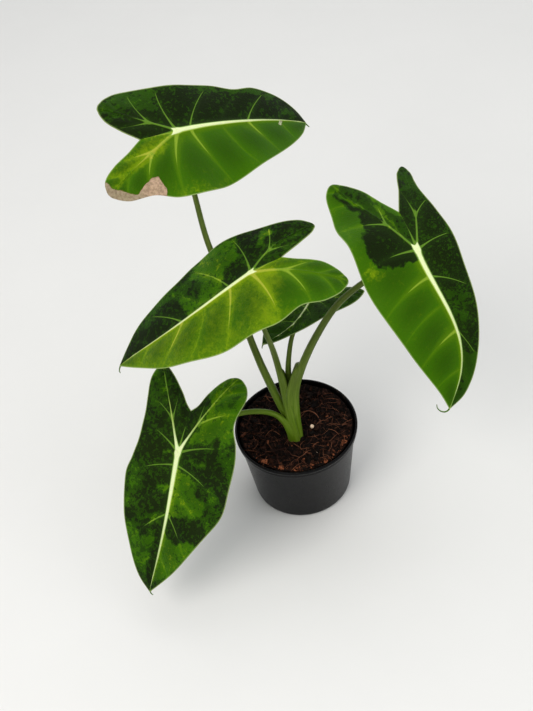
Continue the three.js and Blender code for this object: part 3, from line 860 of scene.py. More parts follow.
def merge_doubles(piece, distance=0.002 * MM):
    """Joins vertices that share a place, so that seams and poles are closed"""
    in_edit_mode(piece, lambda: bpy.ops.mesh.remove_doubles(threshold=distance))


def face_outwards(piece):
    """Turns the faces of a closed piece outwards"""
    in_edit_mode(piece, lambda: bpy.ops.mesh.normals_make_consistent(inside=False))


def smooth(piece, angle=38):
    """Shades a piece smooth, apart from its sharp edges"""
    only(piece)
    bpy.ops.object.shade_smooth_by_angle(angle=math.radians(angle))


def finish_piece(piece, node, slot, *materials):
    """Gives a piece its materials and ties it to the frame"""
    piece.data.materials.clear()
    for material in materials:
        piece.data.materials.append(material)
    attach(piece, "root")
    if node:
        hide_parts(node)


def tube(name, route, sides, steps, radius_at, outward):
    """A closed tube along a route. radius_at gives its radius by share and turn, outward its first side"""
    shares = np.concatenate([[0], np.linspace(0, 1, steps - 1), [1]])
    centres = route.at(shares)
    heads = np.gradient(route.at(np.linspace(0, 1, steps + 1)), axis=0)
    heads = heads / np.linalg.norm(heads, axis=1)[:, None]
    side = np.array(outward, float)
    normals = []
    for head in heads:
        side = side - head * (side @ head)
        side = side / np.linalg.norm(side)
        normals.append(side)
    normals = np.array(normals)
    binormals = np.cross(heads, normals)

    piece, round_share, long_share = new_grid(name, sides, steps)
    station = np.rint(long_share * steps).astype(int)
    turn = 2 * np.pi * round_share
    closed = (station > 0) & (station < steps)
    radius = radius_at(shares[station], turn) * closed
    out = normals[station] * np.cos(turn)[:, None] + binormals[station] * np.sin(turn)[:, None]
    put(piece, (centres[station] + out * radius[:, None]) * MM)
    around = radius_at(shares[station], turn) * (turn - np.pi)
    write_field(piece, "rows", np.column_stack([around, shares[station] * route.length, turn]))
    merge_doubles(piece)
    face_outwards(piece)
    return piece


# Shader tools


def plug(tree, value, socket):
    """Links an output to a socket, or sets the socket to a plain value"""
    if isinstance(value, bpy.types.NodeSocket):
        tree.links.new(value, socket)
    else:
        socket.default_value = value


def maths(tree, operation, first, second=0.0):
    """One sum as a node"""
    node = tree.nodes.new("ShaderNodeMath")
    node.operation = operation
    plug(tree, first, node.inputs[0])
    plug(tree, second, node.inputs[1])
    return node.outputs[0]


def shift(tree, value, low, high, new_low=0.0, new_high=1.0):
    """Maps a value from one range to another, with level ends"""
    node = tree.nodes.new("ShaderNodeMapRange")
    node.interpolation_type = "SMOOTHSTEP"
    plug(tree, value, node.inputs["Value"])
    plug(tree, low, node.inputs["From Min"])
    plug(tree, high, node.inputs["From Max"])
    plug(tree, new_low, node.inputs["To Min"])
    plug(tree, new_high, node.inputs["To Max"])
    return node.outputs["Result"]


def blend(tree, factor, first, second, kind="MIX"):
    """One colour over another"""
    node = tree.nodes.new("ShaderNodeMix")
    node.data_type = "RGBA"
    node.blend_type = kind
    plug(tree, factor, node.inputs["Factor"])
    plug(tree, first, node.inputs[6])
    plug(tree, second, node.inputs[7])
    return node.outputs[2]


def split(tree, vector):
    """The three parts of a vector"""
    node = tree.nodes.new("ShaderNodeSeparateXYZ")
    tree.links.new(vector, node.inputs[0])
    return node.outputs


def field(tree, name):
    """A vector that a mesh keeps under a name"""
    node = tree.nodes.new("ShaderNodeAttribute")
    node.attribute_name = name
    return node.outputs["Vector"]


def own_place(tree):
    """The place on the piece, in metres"""
    return tree.nodes.new("ShaderNodeTexCoord").outputs["Object"]


def stretched(tree, vector, scale):
    """A vector with each part scaled"""
    node = tree.nodes.new("ShaderNodeVectorMath")
    node.operation = "MULTIPLY"
    tree.links.new(vector, node.inputs[0])
    node.inputs[1].default_value = scale
    return node.outputs[0]


def cloud(tree, vector, scale, detail=3.0, roughness=0.55):
    """Soft noise as a value and a colour"""
    node = tree.nodes.new("ShaderNodeTexNoise")
    plug(tree, vector, node.inputs["Vector"])
    plug(tree, scale, node.inputs["Scale"])
    node.inputs["Detail"].default_value = detail
    node.inputs["Roughness"].default_value = roughness
    return node.outputs


def cells(tree, vector, scale, feature="F1"):
    """Cell noise, with a colour for each cell or the distance to its edge"""
    node = tree.nodes.new("ShaderNodeTexVoronoi")
    node.feature = feature
    plug(tree, vector, node.inputs["Vector"])
    plug(tree, scale, node.inputs["Scale"])
    return node.outputs


def bump(tree, height, distance, strength):
    """A normal from a height"""
    node = tree.nodes.new("ShaderNodeBump")
    node.inputs["Strength"].default_value = strength
    node.inputs["Distance"].default_value = distance
    tree.links.new(height, node.inputs["Height"])
    return node.outputs["Normal"]


def new_material(name, specular=0.5, roughness=0.5):
    """A material with its tree and its shader"""
    material = bpy.data.materials.new(name)
    material.use_nodes = True
    shader = material.node_tree.nodes["Principled BSDF"]
    shader.inputs["Specular IOR Level"].default_value = specular
    shader.inputs["Roughness"].default_value = roughness
    return material, material.node_tree, shader


def new_group(name, inputs, outputs):
    """An empty node group with named sockets"""
    tree = bpy.data.node_groups.new(name, "ShaderNodeTree")
    for label, kind, default in inputs:
        socket = tree.interface.new_socket(label, in_out="INPUT", socket_type=kind)
        if default is not None:
            socket.default_value = default
    for label, kind in outputs:
        tree.interface.new_socket(label, in_out="OUTPUT", socket_type=kind)
    start = tree.nodes.new("NodeGroupInput")
    end = tree.nodes.new("NodeGroupOutput")
    return tree, start.outputs, end.inputs


def use_group(tree, group, **values):
    """A group placed in a material, with its inputs set by their names"""
    node = tree.nodes.new("ShaderNodeGroup")
    node.node_tree = group
    for label, value in values.items():
        plug(tree, value, node.inputs[label])
    return node.outputs


def variegation_group():
    """Patches of dark, middle, bright and yellow green, with ragged edges and specks"""
    inputs = [
        ("Place", "NodeSocketVector", None),
        ("Tone", "NodeSocketFloat", 0.5),
        ("Mottle", "NodeSocketFloat", 0.2),
        ("Dark", "NodeSocketColor", None),
        ("Middle", "NodeSocketColor", None),
        ("Bright", "NodeSocketColor", None),
        ("Yellow", "NodeSocketColor", None),
    ]
    outputs = [("Color", "NodeSocketColor"), ("Level", "NodeSocketFloat")]
    tree, given, result = new_group("Variegation", inputs, outputs)
    tone = given["Tone"]
    mottle = given["Mottle"]
    wander = cloud(tree, given["Place"], 0.3, 4, 0.6)["Color"]
    pushed = blend(tree, 1.0, given["Place"], stretched(tree, wander, (9.0, 9.0, 0.0)), "ADD")
    small = split(tree, cells(tree, pushed, 0.5)["Color"])[0]
    large = split(tree, cells(tree, pushed, 0.24)["Color"])[0]
    broad = cloud(tree, given["Place"], 0.1, 4, 0.6)[0]
    fine = cloud(tree, given["Place"], 0.55, 4, 0.65)[0]
    spread = maths(tree, "ADD", maths(tree, "MULTIPLY", small, 0.55), maths(tree, "MULTIPLY", large, 0.65))
    spread = maths(tree, "ADD", spread, maths(tree, "MULTIPLY", broad, 1.3))
    spread = maths(tree, "ADD", spread, maths(tree, "MULTIPLY", fine, 1.6))
    spread = maths(tree, "SUBTRACT", spread, 2.05)
    level = maths(tree, "ADD", tone, maths(tree, "MULTIPLY", spread, mottle))
    half_dark = blend(tree, 0.5, given["Dark"], given["Middle"])
    cloudy = maths(tree, "ADD", maths(tree, "MULTIPLY", small, 0.3), maths(tree, "MULTIPLY", fine, 1.4))
    cloudy = maths(tree, "ADD", cloudy, maths(tree, "MULTIPLY", tone, 0.9))
    dark = blend(tree, shift(tree, cloudy, 0.95, 1.4), given["Dark"], half_dark)
    fleck = maths(tree, "ADD", small, maths(tree, "MULTIPLY", mottle, maths(tree, "ADD", broad, tone)))
    dark = blend(tree, shift(tree, fleck, 1.02, 1.08, 0.0, 0.7), dark, given["Middle"])
    colour = blend(tree, shift(tree, level, 0.29, 0.33), dark, given["Middle"])
    colour = blend(tree, shift(tree, level, 0.6, 0.65), colour, given["Bright"])
    colour = blend(tree, shift(tree, level, 0.92, 1.3), colour, given["Yellow"])
    tree.links.new(colour, result["Color"])
    tree.links.new(level, result["Level"])
    return tree


def streak_group():
    """Fine streaks along the second part of a vector"""
    inputs = [("Place", "NodeSocketVector", None), ("Fineness", "NodeSocketFloat", 1.0)]
    tree, given, result = new_group("Streaks", inputs, [("Value", "NodeSocketFloat")])
    drawn = stretched(tree, given["Place"], (1.0, 0.07, 0.0))
    value = cloud(tree, drawn, given["Fineness"], 4, 0.6)[0]
    tree.links.new(value, result["Value"])
    return tree


def speckle_group():
    """Uneven shading at two scales, as a value about one half"""
    inputs = [("Place", "NodeSocketVector", None), ("Scale", "NodeSocketFloat", 100.0)]
    outputs = [("Value", "NodeSocketFloat"), ("Fine", "NodeSocketFloat")]
    tree, given, result = new_group("Speckle", inputs, outputs)
    coarse = cloud(tree, given["Place"], given["Scale"], 5, 0.6)[0]
    fine = cloud(tree, given["Place"], maths(tree, "MULTIPLY", given["Scale"], 7.3), 3, 0.6)[0]
    tree.links.new(coarse, result["Value"])
    tree.links.new(fine, result["Fine"])
    return tree


def variegated(tree, flat, pattern, colours):
    """The greens of a blade at its flat places, by its tone and mottle"""
    return use_group(
        tree,
        GROUPS["variegation"],
        Place=flat,
        Tone=pattern[0],
        Mottle=pattern[1],
        Dark=colours.dark,
        Middle=colours.middle,
        Bright=colours.bright,
        Yellow=colours.yellow,
    )


def blade_top_material(colours):
    """The upper face of a blade: variegated velvet, pale ribs and veins, a thin pale margin, dry patches,
    and painted shade in the middle of each quilted cell
    """
    material, tree, shader = new_material("leaf_upper_face", specular=0.15)
    veins = split(tree, field(tree, "veins"))
    pattern = split(tree, field(tree, "pattern"))
    flat = field(tree, "flat")
    rows = field(tree, "rows")
    cell = split(tree, rows)[2]

    mixed = variegated(tree, flat, pattern, colours)
    level = mixed["Level"]
    is_bright = shift(tree, level, 0.45, 0.75)
    streaks = use_group(tree, GROUPS["streaks"], Place=rows, Fineness=0.55)["Value"]
    lit = shift(tree, streaks, 0.3, 0.7, 0.0, 0.4)
    shaded = blend(tree, lit, mixed["Color"], paint(150, 176, 90), "SOFT_LIGHT")
    # Painted shade: the middle of each quilted cell between the veins is darkened, standing in for the
    # shading of the quilted relief
    shaded = blend(tree, maths(tree, "MULTIPLY", cell, 0.55), shaded, paint(112, 132, 96), "MULTIPLY")

    glow = shift(tree, veins[1], 1.0, 9.0, 0.42, 0.0)
    rib_glow = shift(tree, veins[0], 1.0, 3.6, 0.6, 0.0)
    glow = maths(tree, "MAXIMUM", glow, rib_glow)
    glow = maths(tree, "MULTIPLY", glow, shift(tree, is_bright, 0.0, 1.0, 0.55, 1.0))
    glow_colour = blend(tree, is_bright, colours.glow_dark, colours.glow_bright)
    glow_colour = blend(tree, shift(tree, level, 0.95, 1.1), glow_colour, colours.yellow)
    colour = blend(tree, glow, shaded, glow_colour)

    line = shift(tree, veins[1], shift(tree, is_bright, 0.0, 1.0, 1.05, 1.7), 0.4)
    line = maths(tree, "MULTIPLY", line, shift(tree, is_bright, 0.0, 1.0, 0.85, 0.66))
    line_colour = blend(tree, is_bright, colours.vein_dark, colours.vein)
    line_colour = blend(tree, shift(tree, level, 0.94, 1.1), line_colour, paint(176, 178, 62))
    colour = blend(tree, line, colour, line_colour)
    edge = shift(tree, veins[0], 1.25, 0.9)
    colour = blend(tree, edge, colour, line_colour)
    core = shift(tree, veins[0], 0.95, 0.55)
    along = split(tree, flat)[0]
    core_colour = blend(tree, shift(tree, along, 30.0, 135.0, 0.0, 0.6), colours.rib, line_colour)
    core_colour = blend(tree, shift(tree, along, -5.0, -30.0, 0.0, 0.85), core_colour, colours.vein)
    colour = blend(tree, core, colour, core_colour)
    margin = shift(tree, veins[2], 1.05, 0.3, 0.0, 0.6)
    colour = blend(tree, margin, colour, colours.margin)

    dry_noise = cloud(tree, flat, 0.35, 4, 0.6)[0]
    dry = maths(tree, "MULTIPLY", maths(tree, "SUBTRACT", dry_noise, 0.5), 0.5)
    dry = maths(tree, "ADD", pattern[2], dry)
    is_dry = shift(tree, dry, 0.42, 0.56)
    dry_colour = blend(tree, shift(tree, along, -62.0, -48.0), paint(152, 136, 112), colours.dry)
    dry_colour = blend(tree, shift(tree, along, 60.0, 90.0), dry_colour, paint(176, 186, 150))
    dry_colour = blend(tree, shift(tree, dry_noise, 0.4, 0.62, 0.0, 0.6), dry_colour, paint(116, 98, 76))
    dry_rim = maths(tree, "MULTIPLY", shift(tree, dry, 0.34, 0.42), shift(tree, dry, 0.56, 0.46))
    colour = blend(tree, is_dry, colour, dry_colour)
    colour = blend(tree, maths(tree, "MULTIPLY", dry_rim, 0.5), colour, paint(120, 92, 50))
    tree.links.new(colour, shader.inputs["Base Color"])

    rough = shift(tree, level, 0.2, 0.8, 0.56, 0.44)
    rough = maths(tree, "ADD", rough, maths(tree, "MULTIPLY", is_dry, 0.3))
    tree.links.new(rough, shader.inputs["Roughness"])
    shader.inputs["Specular Tint"].default_value = (0.62, 1.0, 0.2, 1.0)
    shader.inputs["Sheen Weight"].default_value = 0.015
    shader.inputs["Sheen Roughness"].default_value = 0.45
    shader.inputs["Subsurface Weight"].default_value = 0.06
    shader.inputs["Subsurface Radius"].default_value = (0.5, 1.0, 0.2)
    shader.inputs["Subsurface Scale"].default_value = 0.002

    net = cells(tree, flat, 0.42, "DISTANCE_TO_EDGE")["Distance"]
    net = shift(tree, net, 0.0, 0.16)
    furrow = shift(tree, veins[1], 0.4, 2.6)
    roll = shift(tree, veins[0], 1.25, 0.2)
    height = maths(tree, "ADD", maths(tree, "MULTIPLY", net, 0.22), maths(tree, "MULTIPLY", furrow, 0.6))
    height = maths(tree, "ADD", height, maths(tree, "MULTIPLY", streaks, 0.5))
    height = maths(tree, "ADD", height, maths(tree, "MULTIPLY", roll, 0.9))
    dry_relief = maths(tree, "MULTIPLY", dry_noise, is_dry)
    height = maths(tree, "ADD", height, maths(tree, "MULTIPLY", dry_relief, 1.6))
    tree.links.new(bump(tree, height, 0.55 * MM, 0.8), shader.inputs["Normal"])
    return material


def blade_underside_material(colours):
    """The lower face of a blade: paler and greyer, with strong ribs"""
    material, tree, shader = new_material("leaf_lower_face", specular=0.3)
    veins = split(tree, field(tree, "veins"))
    pattern = split(tree, field(tree, "pattern"))
    flat = field(tree, "flat")
    mixed = variegated(tree, flat, pattern, colours)
    colour = blend(tree, 0.5, mixed["Color"], paint(132, 156, 92))
    streaks = use_group(tree, GROUPS["streaks"], Place=field(tree, "rows"), Fineness=0.8)["Value"]
    colour = blend(tree, shift(tree, streaks, 0.3, 0.7, 0.0, 0.3), colour, paint(160, 180, 120))
    colour = blend(tree, shift(tree, veins[1], 2.4, 0.8, 0.0, 0.8), colour, paint(164, 186, 104))
    colour = blend(tree, shift(tree, veins[0], 2.2, 1.2), colour, paint(186, 204, 126))
    colour = blend(tree, shift(tree, pattern[2], 0.4, 0.6, 0.0, 0.9), colour, colours.dry)
    tree.links.new(colour, shader.inputs["Base Color"])
    tree.links.new(shift(tree, streaks, 0.3, 0.7, 0.42, 0.56), shader.inputs["Roughness"])
    shader.inputs["Specular Tint"].default_value = (0.7, 1.0, 0.4, 1.0)
    net = cells(tree, flat, 0.42, "DISTANCE_TO_EDGE")["Distance"]
    height = shift(tree, net, 0.2, 0.0)
    tree.links.new(bump(tree, height, 0.3 * MM, 0.7), shader.inputs["Normal"])
    return material


def stalk_material(colours):
    """Fleshy stalks, lime at the foot and greyer above, with long flecks and fine ridges"""
    material, tree, shader = new_material("stalk_skin", specular=0.25)
    shader.inputs["Specular Tint"].default_value = (0.8, 1.0, 0.4, 1.0)
    place = own_place(tree)
    height = split(tree, place)[2]
    rows = field(tree, "rows")
    streaks = use_group(tree, GROUPS["streaks"], Place=rows, Fineness=1.5)["Value"]
    wide = use_group(tree, GROUPS["streaks"], Place=rows, Fineness=0.45)["Value"]
    colour = blend(tree, shift(tree, height, 88 * MM, 190 * MM), colours.foot, colours.upper)
    colour = blend(tree, shift(tree, wide, 0.35, 0.7, 0.0, 0.4), colour, paint(124, 142, 62))
    fleck_share = shift(tree, height, 95 * MM, 170 * MM, 0.25, 0.62)
    flecked = maths(tree, "MULTIPLY", shift(tree, streaks, 0.5, 0.64), fleck_share)
    colour = blend(tree, flecked, colour, colours.fleck)
    colour = blend(tree, shift(tree, height, 84 * MM, 79 * MM, 0.0, 0.35), colour, paint(150, 150, 80))
    tree.links.new(colour, shader.inputs["Base Color"])
    tree.links.new(shift(tree, streaks, 0.3, 0.7, 0.36, 0.5), shader.inputs["Roughness"])
    shader.inputs["Subsurface Weight"].default_value = 0.08
    shader.inputs["Subsurface Radius"].default_value = (0.5, 1.0, 0.2)
    shader.inputs["Subsurface Scale"].default_value = 0.003
    tree.links.new(bump(tree, streaks, 0.35 * MM, 0.6), shader.inputs["Normal"])
    return material


def pot_material(colours):
    """Black moulded plastic, finely grained, with faint drag lines and dried splashes of mix"""
    material, tree, shader = new_material("pot_plastic", specular=0.1)
    place = own_place(tree)
    grain = use_group(tree, GROUPS["speckle"], Place=place, Scale=700.0)
    height = split(tree, place)[2]
    grained_share = shift(tree, grain["Value"], 0.35, 0.75, 0.0, 0.5)
    colour = blend(tree, grained_share, colours.plastic, paint(11, 11, 13))
    splash = cloud(tree, place, 95.0, 6, 0.7)[0]
    rim_share = shift(tree, height, (POT_HEIGHT - 14) * MM, POT_HEIGHT * MM, 0.0, 0.1)
    foot_share = shift(tree, height, 12 * MM, 0.0, 0.0, 0.07)
    limit = maths(tree, "SUBTRACT", 0.68, maths(tree, "ADD", rim_share, foot_share))
    dusty = maths(tree, "SUBTRACT", splash, limit)
    dusty = shift(tree, dusty, 0.0, 0.09, 0.0, 0.22)
    colour = blend(tree, dusty, colour, colours.dust)
    tree.links.new(colour, shader.inputs["Base Color"])
    rough = shift(tree, grain["Value"], 0.3, 0.7, 0.26, 0.36)
    rough = maths(tree, "ADD", rough, maths(tree, "MULTIPLY", dusty, 0.8))
    tree.links.new(rough, shader.inputs["Roughness"])
    lines = cells(tree, stretched(tree, place, (1.0, 1.0, 14.0)), 34.0)["Distance"]
    grained = maths(tree, "ADD", grain["Fine"], maths(tree, "MULTIPLY", lines, 0.3))
    tree.links.new(bump(tree, grained, 0.12 * MM, 0.5), shader.inputs["Normal"])
    return material


def mix_material(name, colours, lightness):
    """Bits of the potting mix, from near black to a warm bark colour by each bit's own shade"""
    material, tree, shader = new_material(name, specular=0.08, roughness=0.85)
    place = own_place(tree)
    speckle = use_group(tree, GROUPS["speckle"], Place=place, Scale=420.0)
    shade = split(tree, field(tree, "shade"))[0]
    uneven = maths(tree, "MULTIPLY", maths(tree, "SUBTRACT", speckle["Value"], 0.5), 0.9)
    tone = maths(tree, "ADD", shade, uneven)
    colour = blend(tree, shift(tree, tone, 0.15, 0.62), colours.damp, paint(48, 26, 17))
    colour = blend(tree, shift(tree, tone, 0.62, 1.05, 0.0, lightness), colour, colours.bark)
    tree.links.new(colour, shader.inputs["Base Color"])
    tree.links.new(shift(tree, speckle["Value"], 0.3, 0.7, 0.95, 0.62), shader.inputs["Roughness"])
    tree.links.new(bump(tree, speckle["Fine"], 0.25 * MM, 0.9), shader.inputs["Normal"])
    return material


def fibre_material(colours):
    """Dry fibres and a fine root, paler along some of their length"""
    material, tree, shader = new_material("coir_fibre", specular=0.2, roughness=0.8)
    speckle = use_group(tree, GROUPS["speckle"], Place=own_place(tree), Scale=150.0)
    shade = split(tree, field(tree, "shade"))[0]
    tone = maths(tree, "ADD", shade, maths(tree, "SUBTRACT", speckle["Value"], 0.5))
    colour = blend(tree, shift(tree, tone, 0.1, 0.9), paint(62, 34, 24), colours.fibre)
    tree.links.new(colour, shader.inputs["Base Color"])
    tree.links.new(shift(tree, speckle["Fine"], 0.3, 0.7, 0.7, 0.9), shader.inputs["Roughness"])
    tree.links.new(bump(tree, speckle["Fine"], 0.1 * MM, 0.7), shader.inputs["Normal"])
    return material


def pellet_material(colours):
    """Feed pellets: a cream shell with a darker dimpled side"""
    material, tree, shader = new_material("feed_pellet", specular=0.5, roughness=0.45)
    speckle = use_group(tree, GROUPS["speckle"], Place=own_place(tree), Scale=600.0)
    colour = blend(tree, shift(tree, speckle["Value"], 0.45, 0.75), colours.pellet, paint(170, 120, 70))
    tree.links.new(colour, shader.inputs["Base Color"])
    tree.links.new(shift(tree, speckle["Value"], 0.3, 0.7, 0.35, 0.6), shader.inputs["Roughness"])
    tree.links.new(bump(tree, speckle["Fine"], 0.15 * MM, 0.6), shader.inputs["Normal"])
    return material


def floor_material(colours):
    """A pale plain floor with the faintest unevenness"""
    material, tree, shader = new_material("pale_floor", specular=0.3, roughness=0.7)
    speckle = use_group(tree, GROUPS["speckle"], Place=own_place(tree), Scale=6.0)
    darker = tuple(0.985 * value for value in colours.floor[:3])
    colour = blend(tree, shift(tree, speckle["Value"], 0.3, 0.7), colours.floor, (*darker, 1.0))
    tree.links.new(colour, shader.inputs["Base Color"])
    tree.links.new(shift(tree, speckle["Fine"], 0.3, 0.7, 0.62, 0.74), shader.inputs["Roughness"])
    return material


GROUPS = {}


# The pot


def wall_radius(height):
    """Radius of the pot's outer wall below its rim"""
    return BASE_RADIUS + (RIM_RADIUS - RIM_STEP - RIM_LIP - BASE_RADIUS) * height / (POT_HEIGHT - RIM_BAND)


def turned(name, profile, sides):
    """A closed turned shape, drawn ring by ring up its profile of radius and height in millimetres"""
    radius, height = profile[0]
    bpy.ops.object.select_all(action="DESELECT")
    bpy.ops.mesh.primitive_circle_add(vertices=sides, radius=radius * MM, fill_type="NGON")
    piece = bpy.context.object
    piece.name = name
    bpy.ops.object.mode_set(mode="EDIT")
    bpy.ops.mesh.select_all(action="SELECT")
    bpy.ops.transform.translate(value=(0, 0, height * MM))
    for new_radius, new_height in profile[1:]:
        rise = (new_height - height) * MM
        bpy.ops.mesh.extrude_region_move(TRANSFORM_OT_translate={"value": (0, 0, rise)})
        scale = new_radius / radius
        bpy.ops.transform.resize(value=(scale, scale, 1), center_override=(0, 0, new_height * MM))
        radius, height = new_radius, new_height
    bpy.ops.object.mode_set(mode="OBJECT")
    return piece


def drill(piece, cutter):
    """Cuts one piece out of another"""
    only(piece)
    cut = piece.modifiers.new("Cut", "BOOLEAN")
    cut.object = cutter
    cut.solver = "EXACT"
    bpy.ops.object.modifier_apply(modifier=cut.name)
    bpy.data.objects.remove(cutter)


def round_edges(piece, width, angle=25):
    """Rounds the sharper edges of a piece"""
    only(piece)
    bevel = piece.modifiers.new("Round", "BEVEL")
    bevel.width = width
    bevel.segments = 3
    bevel.limit_method = "ANGLE"
    bevel.angle_limit = math.radians(angle)
    bpy.ops.object.modifier_apply(modifier=bevel.name)


class ALOCASIA_OT_pot(Operator):
    """Builds the thin nursery pot with its rim band, rolled lip and drain holes"""

    bl_idname = "alocasia.pot"
    bl_label = "Pot"

    def execute(self, context):
        settings = context.scene.alocasia_pot
        band_foot = POT_HEIGHT - RIM_BAND
        band_radius = RIM_RADIUS - RIM_LIP / 2
        foot_groove = 6
        profile = [
            (BASE_RADIUS - 4 * BASE_CHAMFER, 0.9),
            (BASE_RADIUS - 3 * BASE_CHAMFER, 0),
            (BASE_RADIUS - BASE_CHAMFER, 0),
            (BASE_RADIUS, BASE_CHAMFER),
            (wall_radius(foot_groove), foot_groove),
            (wall_radius(band_foot), band_foot),
            (band_radius, band_foot + RIM_STEP),
            (band_radius, POT_HEIGHT - 2.2 * RIM_LIP),
            (RIM_RADIUS, POT_HEIGHT - 1.4 * RIM_LIP),
            (RIM_RADIUS, POT_HEIGHT - 0.35 * RIM_LIP),
            (RIM_RADIUS - 0.35 * RIM_LIP, POT_HEIGHT),
            (band_radius - WALL + 0.3, POT_HEIGHT - 0.2),
            (band_radius - WALL, POT_HEIGHT - RIM_LIP),
            (band_radius - WALL, band_foot + RIM_STEP),
            (wall_radius(band_foot) - WALL, band_foot - RIM_STEP),
            (BASE_RADIUS - WALL, FLOOR + BASE_CHAMFER),
            (BASE_RADIUS - WALL - BASE_CHAMFER, FLOOR),
        ]
        pot = turned("pot_shell", profile, settings.sides)
        round_edges(pot, settings.edge_round)
        for k in range(DRAIN_COUNT):
            angle = 2 * math.pi * k / DRAIN_COUNT
            place = (DRAIN_CIRCLE * MM * math.cos(angle), DRAIN_CIRCLE * MM * math.sin(angle), FLOOR * MM)
            bpy.ops.mesh.primitive_cylinder_add(
                vertices=32, radius=DRAIN_RADIUS * MM, depth=4 * FLOOR * MM, location=place
            )
            drill(pot, context.object)
        face_outwards(pot)
        smooth(pot, 30)
        finish_piece(pot, "pot", "pot", pot_material(settings))
        return {"FINISHED"}


# The potting mix


def soil_height(x, y):
    """Height of the mix, with the part's own lumps"""
    lumps = np.sin(0.42 * x + 1.3) * np.cos(0.37 * y - 0.4) + 0.6 * np.sin(0.83 * y + 0.31 * x)
    return SOIL_TOP + SOIL_RELIEF * lumps


def banked(x, y):
    """How much higher the mix lies where it is banked against the wall"""
    reach = wall_radius(POT_HEIGHT - RIM_BAND) - WALL - GAP
    return BANK_RISE * ease(0.72 * reach, reach, np.hypot(x, y)) * (0.8 + 0.2 * np.sin(0.21 * x - 0.3 * y))


def mix_height(x, y):
    """Height of the mix at one place, banked but without its crumbs"""
    return float(soil_height(x, y) + banked(x, y))


def grain_height(x, y):
    """Height of the mix with crumbs of its own on the lumps"""
    crumbs = [noise.fractal(Vector((a, b, 0)) * 0.45, 0.6, 2.2, 5) for a, b in zip(x, y)]
    return soil_height(x, y) + 0.75 * np.array(crumbs) + 0.2 + banked(x, y)


def bits_template(name, size, jitter, seed):
    """A rough bit of bark about one millimetre long: a bevelled block with its corners pushed about"""
    bpy.ops.object.select_all(action="DESELECT")
    bpy.ops.mesh.primitive_cube_add(size=1)
    piece = bpy.context.object
    piece.name = name
    in_edit_mode(piece, lambda: bpy.ops.mesh.bevel(offset=0.16, segments=1, affect="EDGES"))
    chance = np.random.default_rng(seed)
    shape = places_of(piece) * size
    shape += chance.uniform(-jitter, jitter, shape.shape) * size
    faces = [list(face.vertices) for face in piece.data.polygons]
    bpy.data.objects.remove(piece)
    return shape, faces


def strand_template(curl, lift, steps=7):
    """A fibre one millimetre long: a thin three-sided strand along an arc that lies down at both ends"""
    share = np.linspace(-0.5, 0.5, steps)
    centre = np.column_stack([share, curl * (0.25 - share**2), lift * (0.25 - share**2)])
    thickness = 0.5 * np.sqrt(np.maximum(0.26 - share**2, 0.01))
    rings = []
    for corner in range(3):
        angle = 2 * math.pi * corner / 3
        out = np.array([0, math.cos(angle), math.sin(angle)])
        rings.append(centre + thickness[:, None] * out * 0.05)
    shape = np.stack(rings, axis=1).reshape(-1, 3)
    faces = []
    for k in range(steps - 1):
        for corner in range(3):
            beside = (corner + 1) % 3
            faces.append([3 * k + corner, 3 * k + beside, 3 * k + 3 + beside, 3 * k + 3 + corner])
    faces.append([0, 2, 1])
    faces.append([3 * steps - 3, 3 * steps - 2, 3 * steps - 1])
    return shape, faces


def scatter(name, templates, placings):
    """One mesh of many copies. Each placing is a template's number, place, turn, scale and shade"""
    vertices = []
    faces = []
    shades = []
    count = 0
    for which, place, turn, scale, shade in placings:
        shape, shape_faces = templates[which]
        vertices.append((shape * scale) @ np.array(turn.to_matrix()).T + place)
        faces.extend([[count + corner for corner in face] for face in shape_faces])
        shades.append(np.full((len(shape), 3), shade))
        count += len(shape)
    mesh = bpy.data.meshes.new(name)
    mesh.from_pydata((np.vstack(vertices) * MM).tolist(), [], faces)
    piece = bpy.data.objects.new(name, mesh)
    bpy.context.scene.collection.objects.link(piece)
    write_field(piece, "shade", np.vstack(shades))
    face_outwards(piece)
    return piece


def open_place(chance, reach):
    """A chance place on the mix, clear of the stalks"""
    while True:
        radius = reach * math.sqrt(chance.random())
        angle = 2 * math.pi * chance.random()
        x, y = radius * math.cos(angle), radius * math.sin(angle)
        if math.hypot(x - CLUMP[0], y - CLUMP[1]) > CLUMP_RING + STALK_FOOT_RADIUS + 1:
            return x, y


def front_share(x, y, reach):
    """How near a place is to the front rim, where the mix has dried and is paler"""
    return ease(0.78 * reach, reach, math.hypot(x, y)) * ease(0.35, -0.6, y / reach)


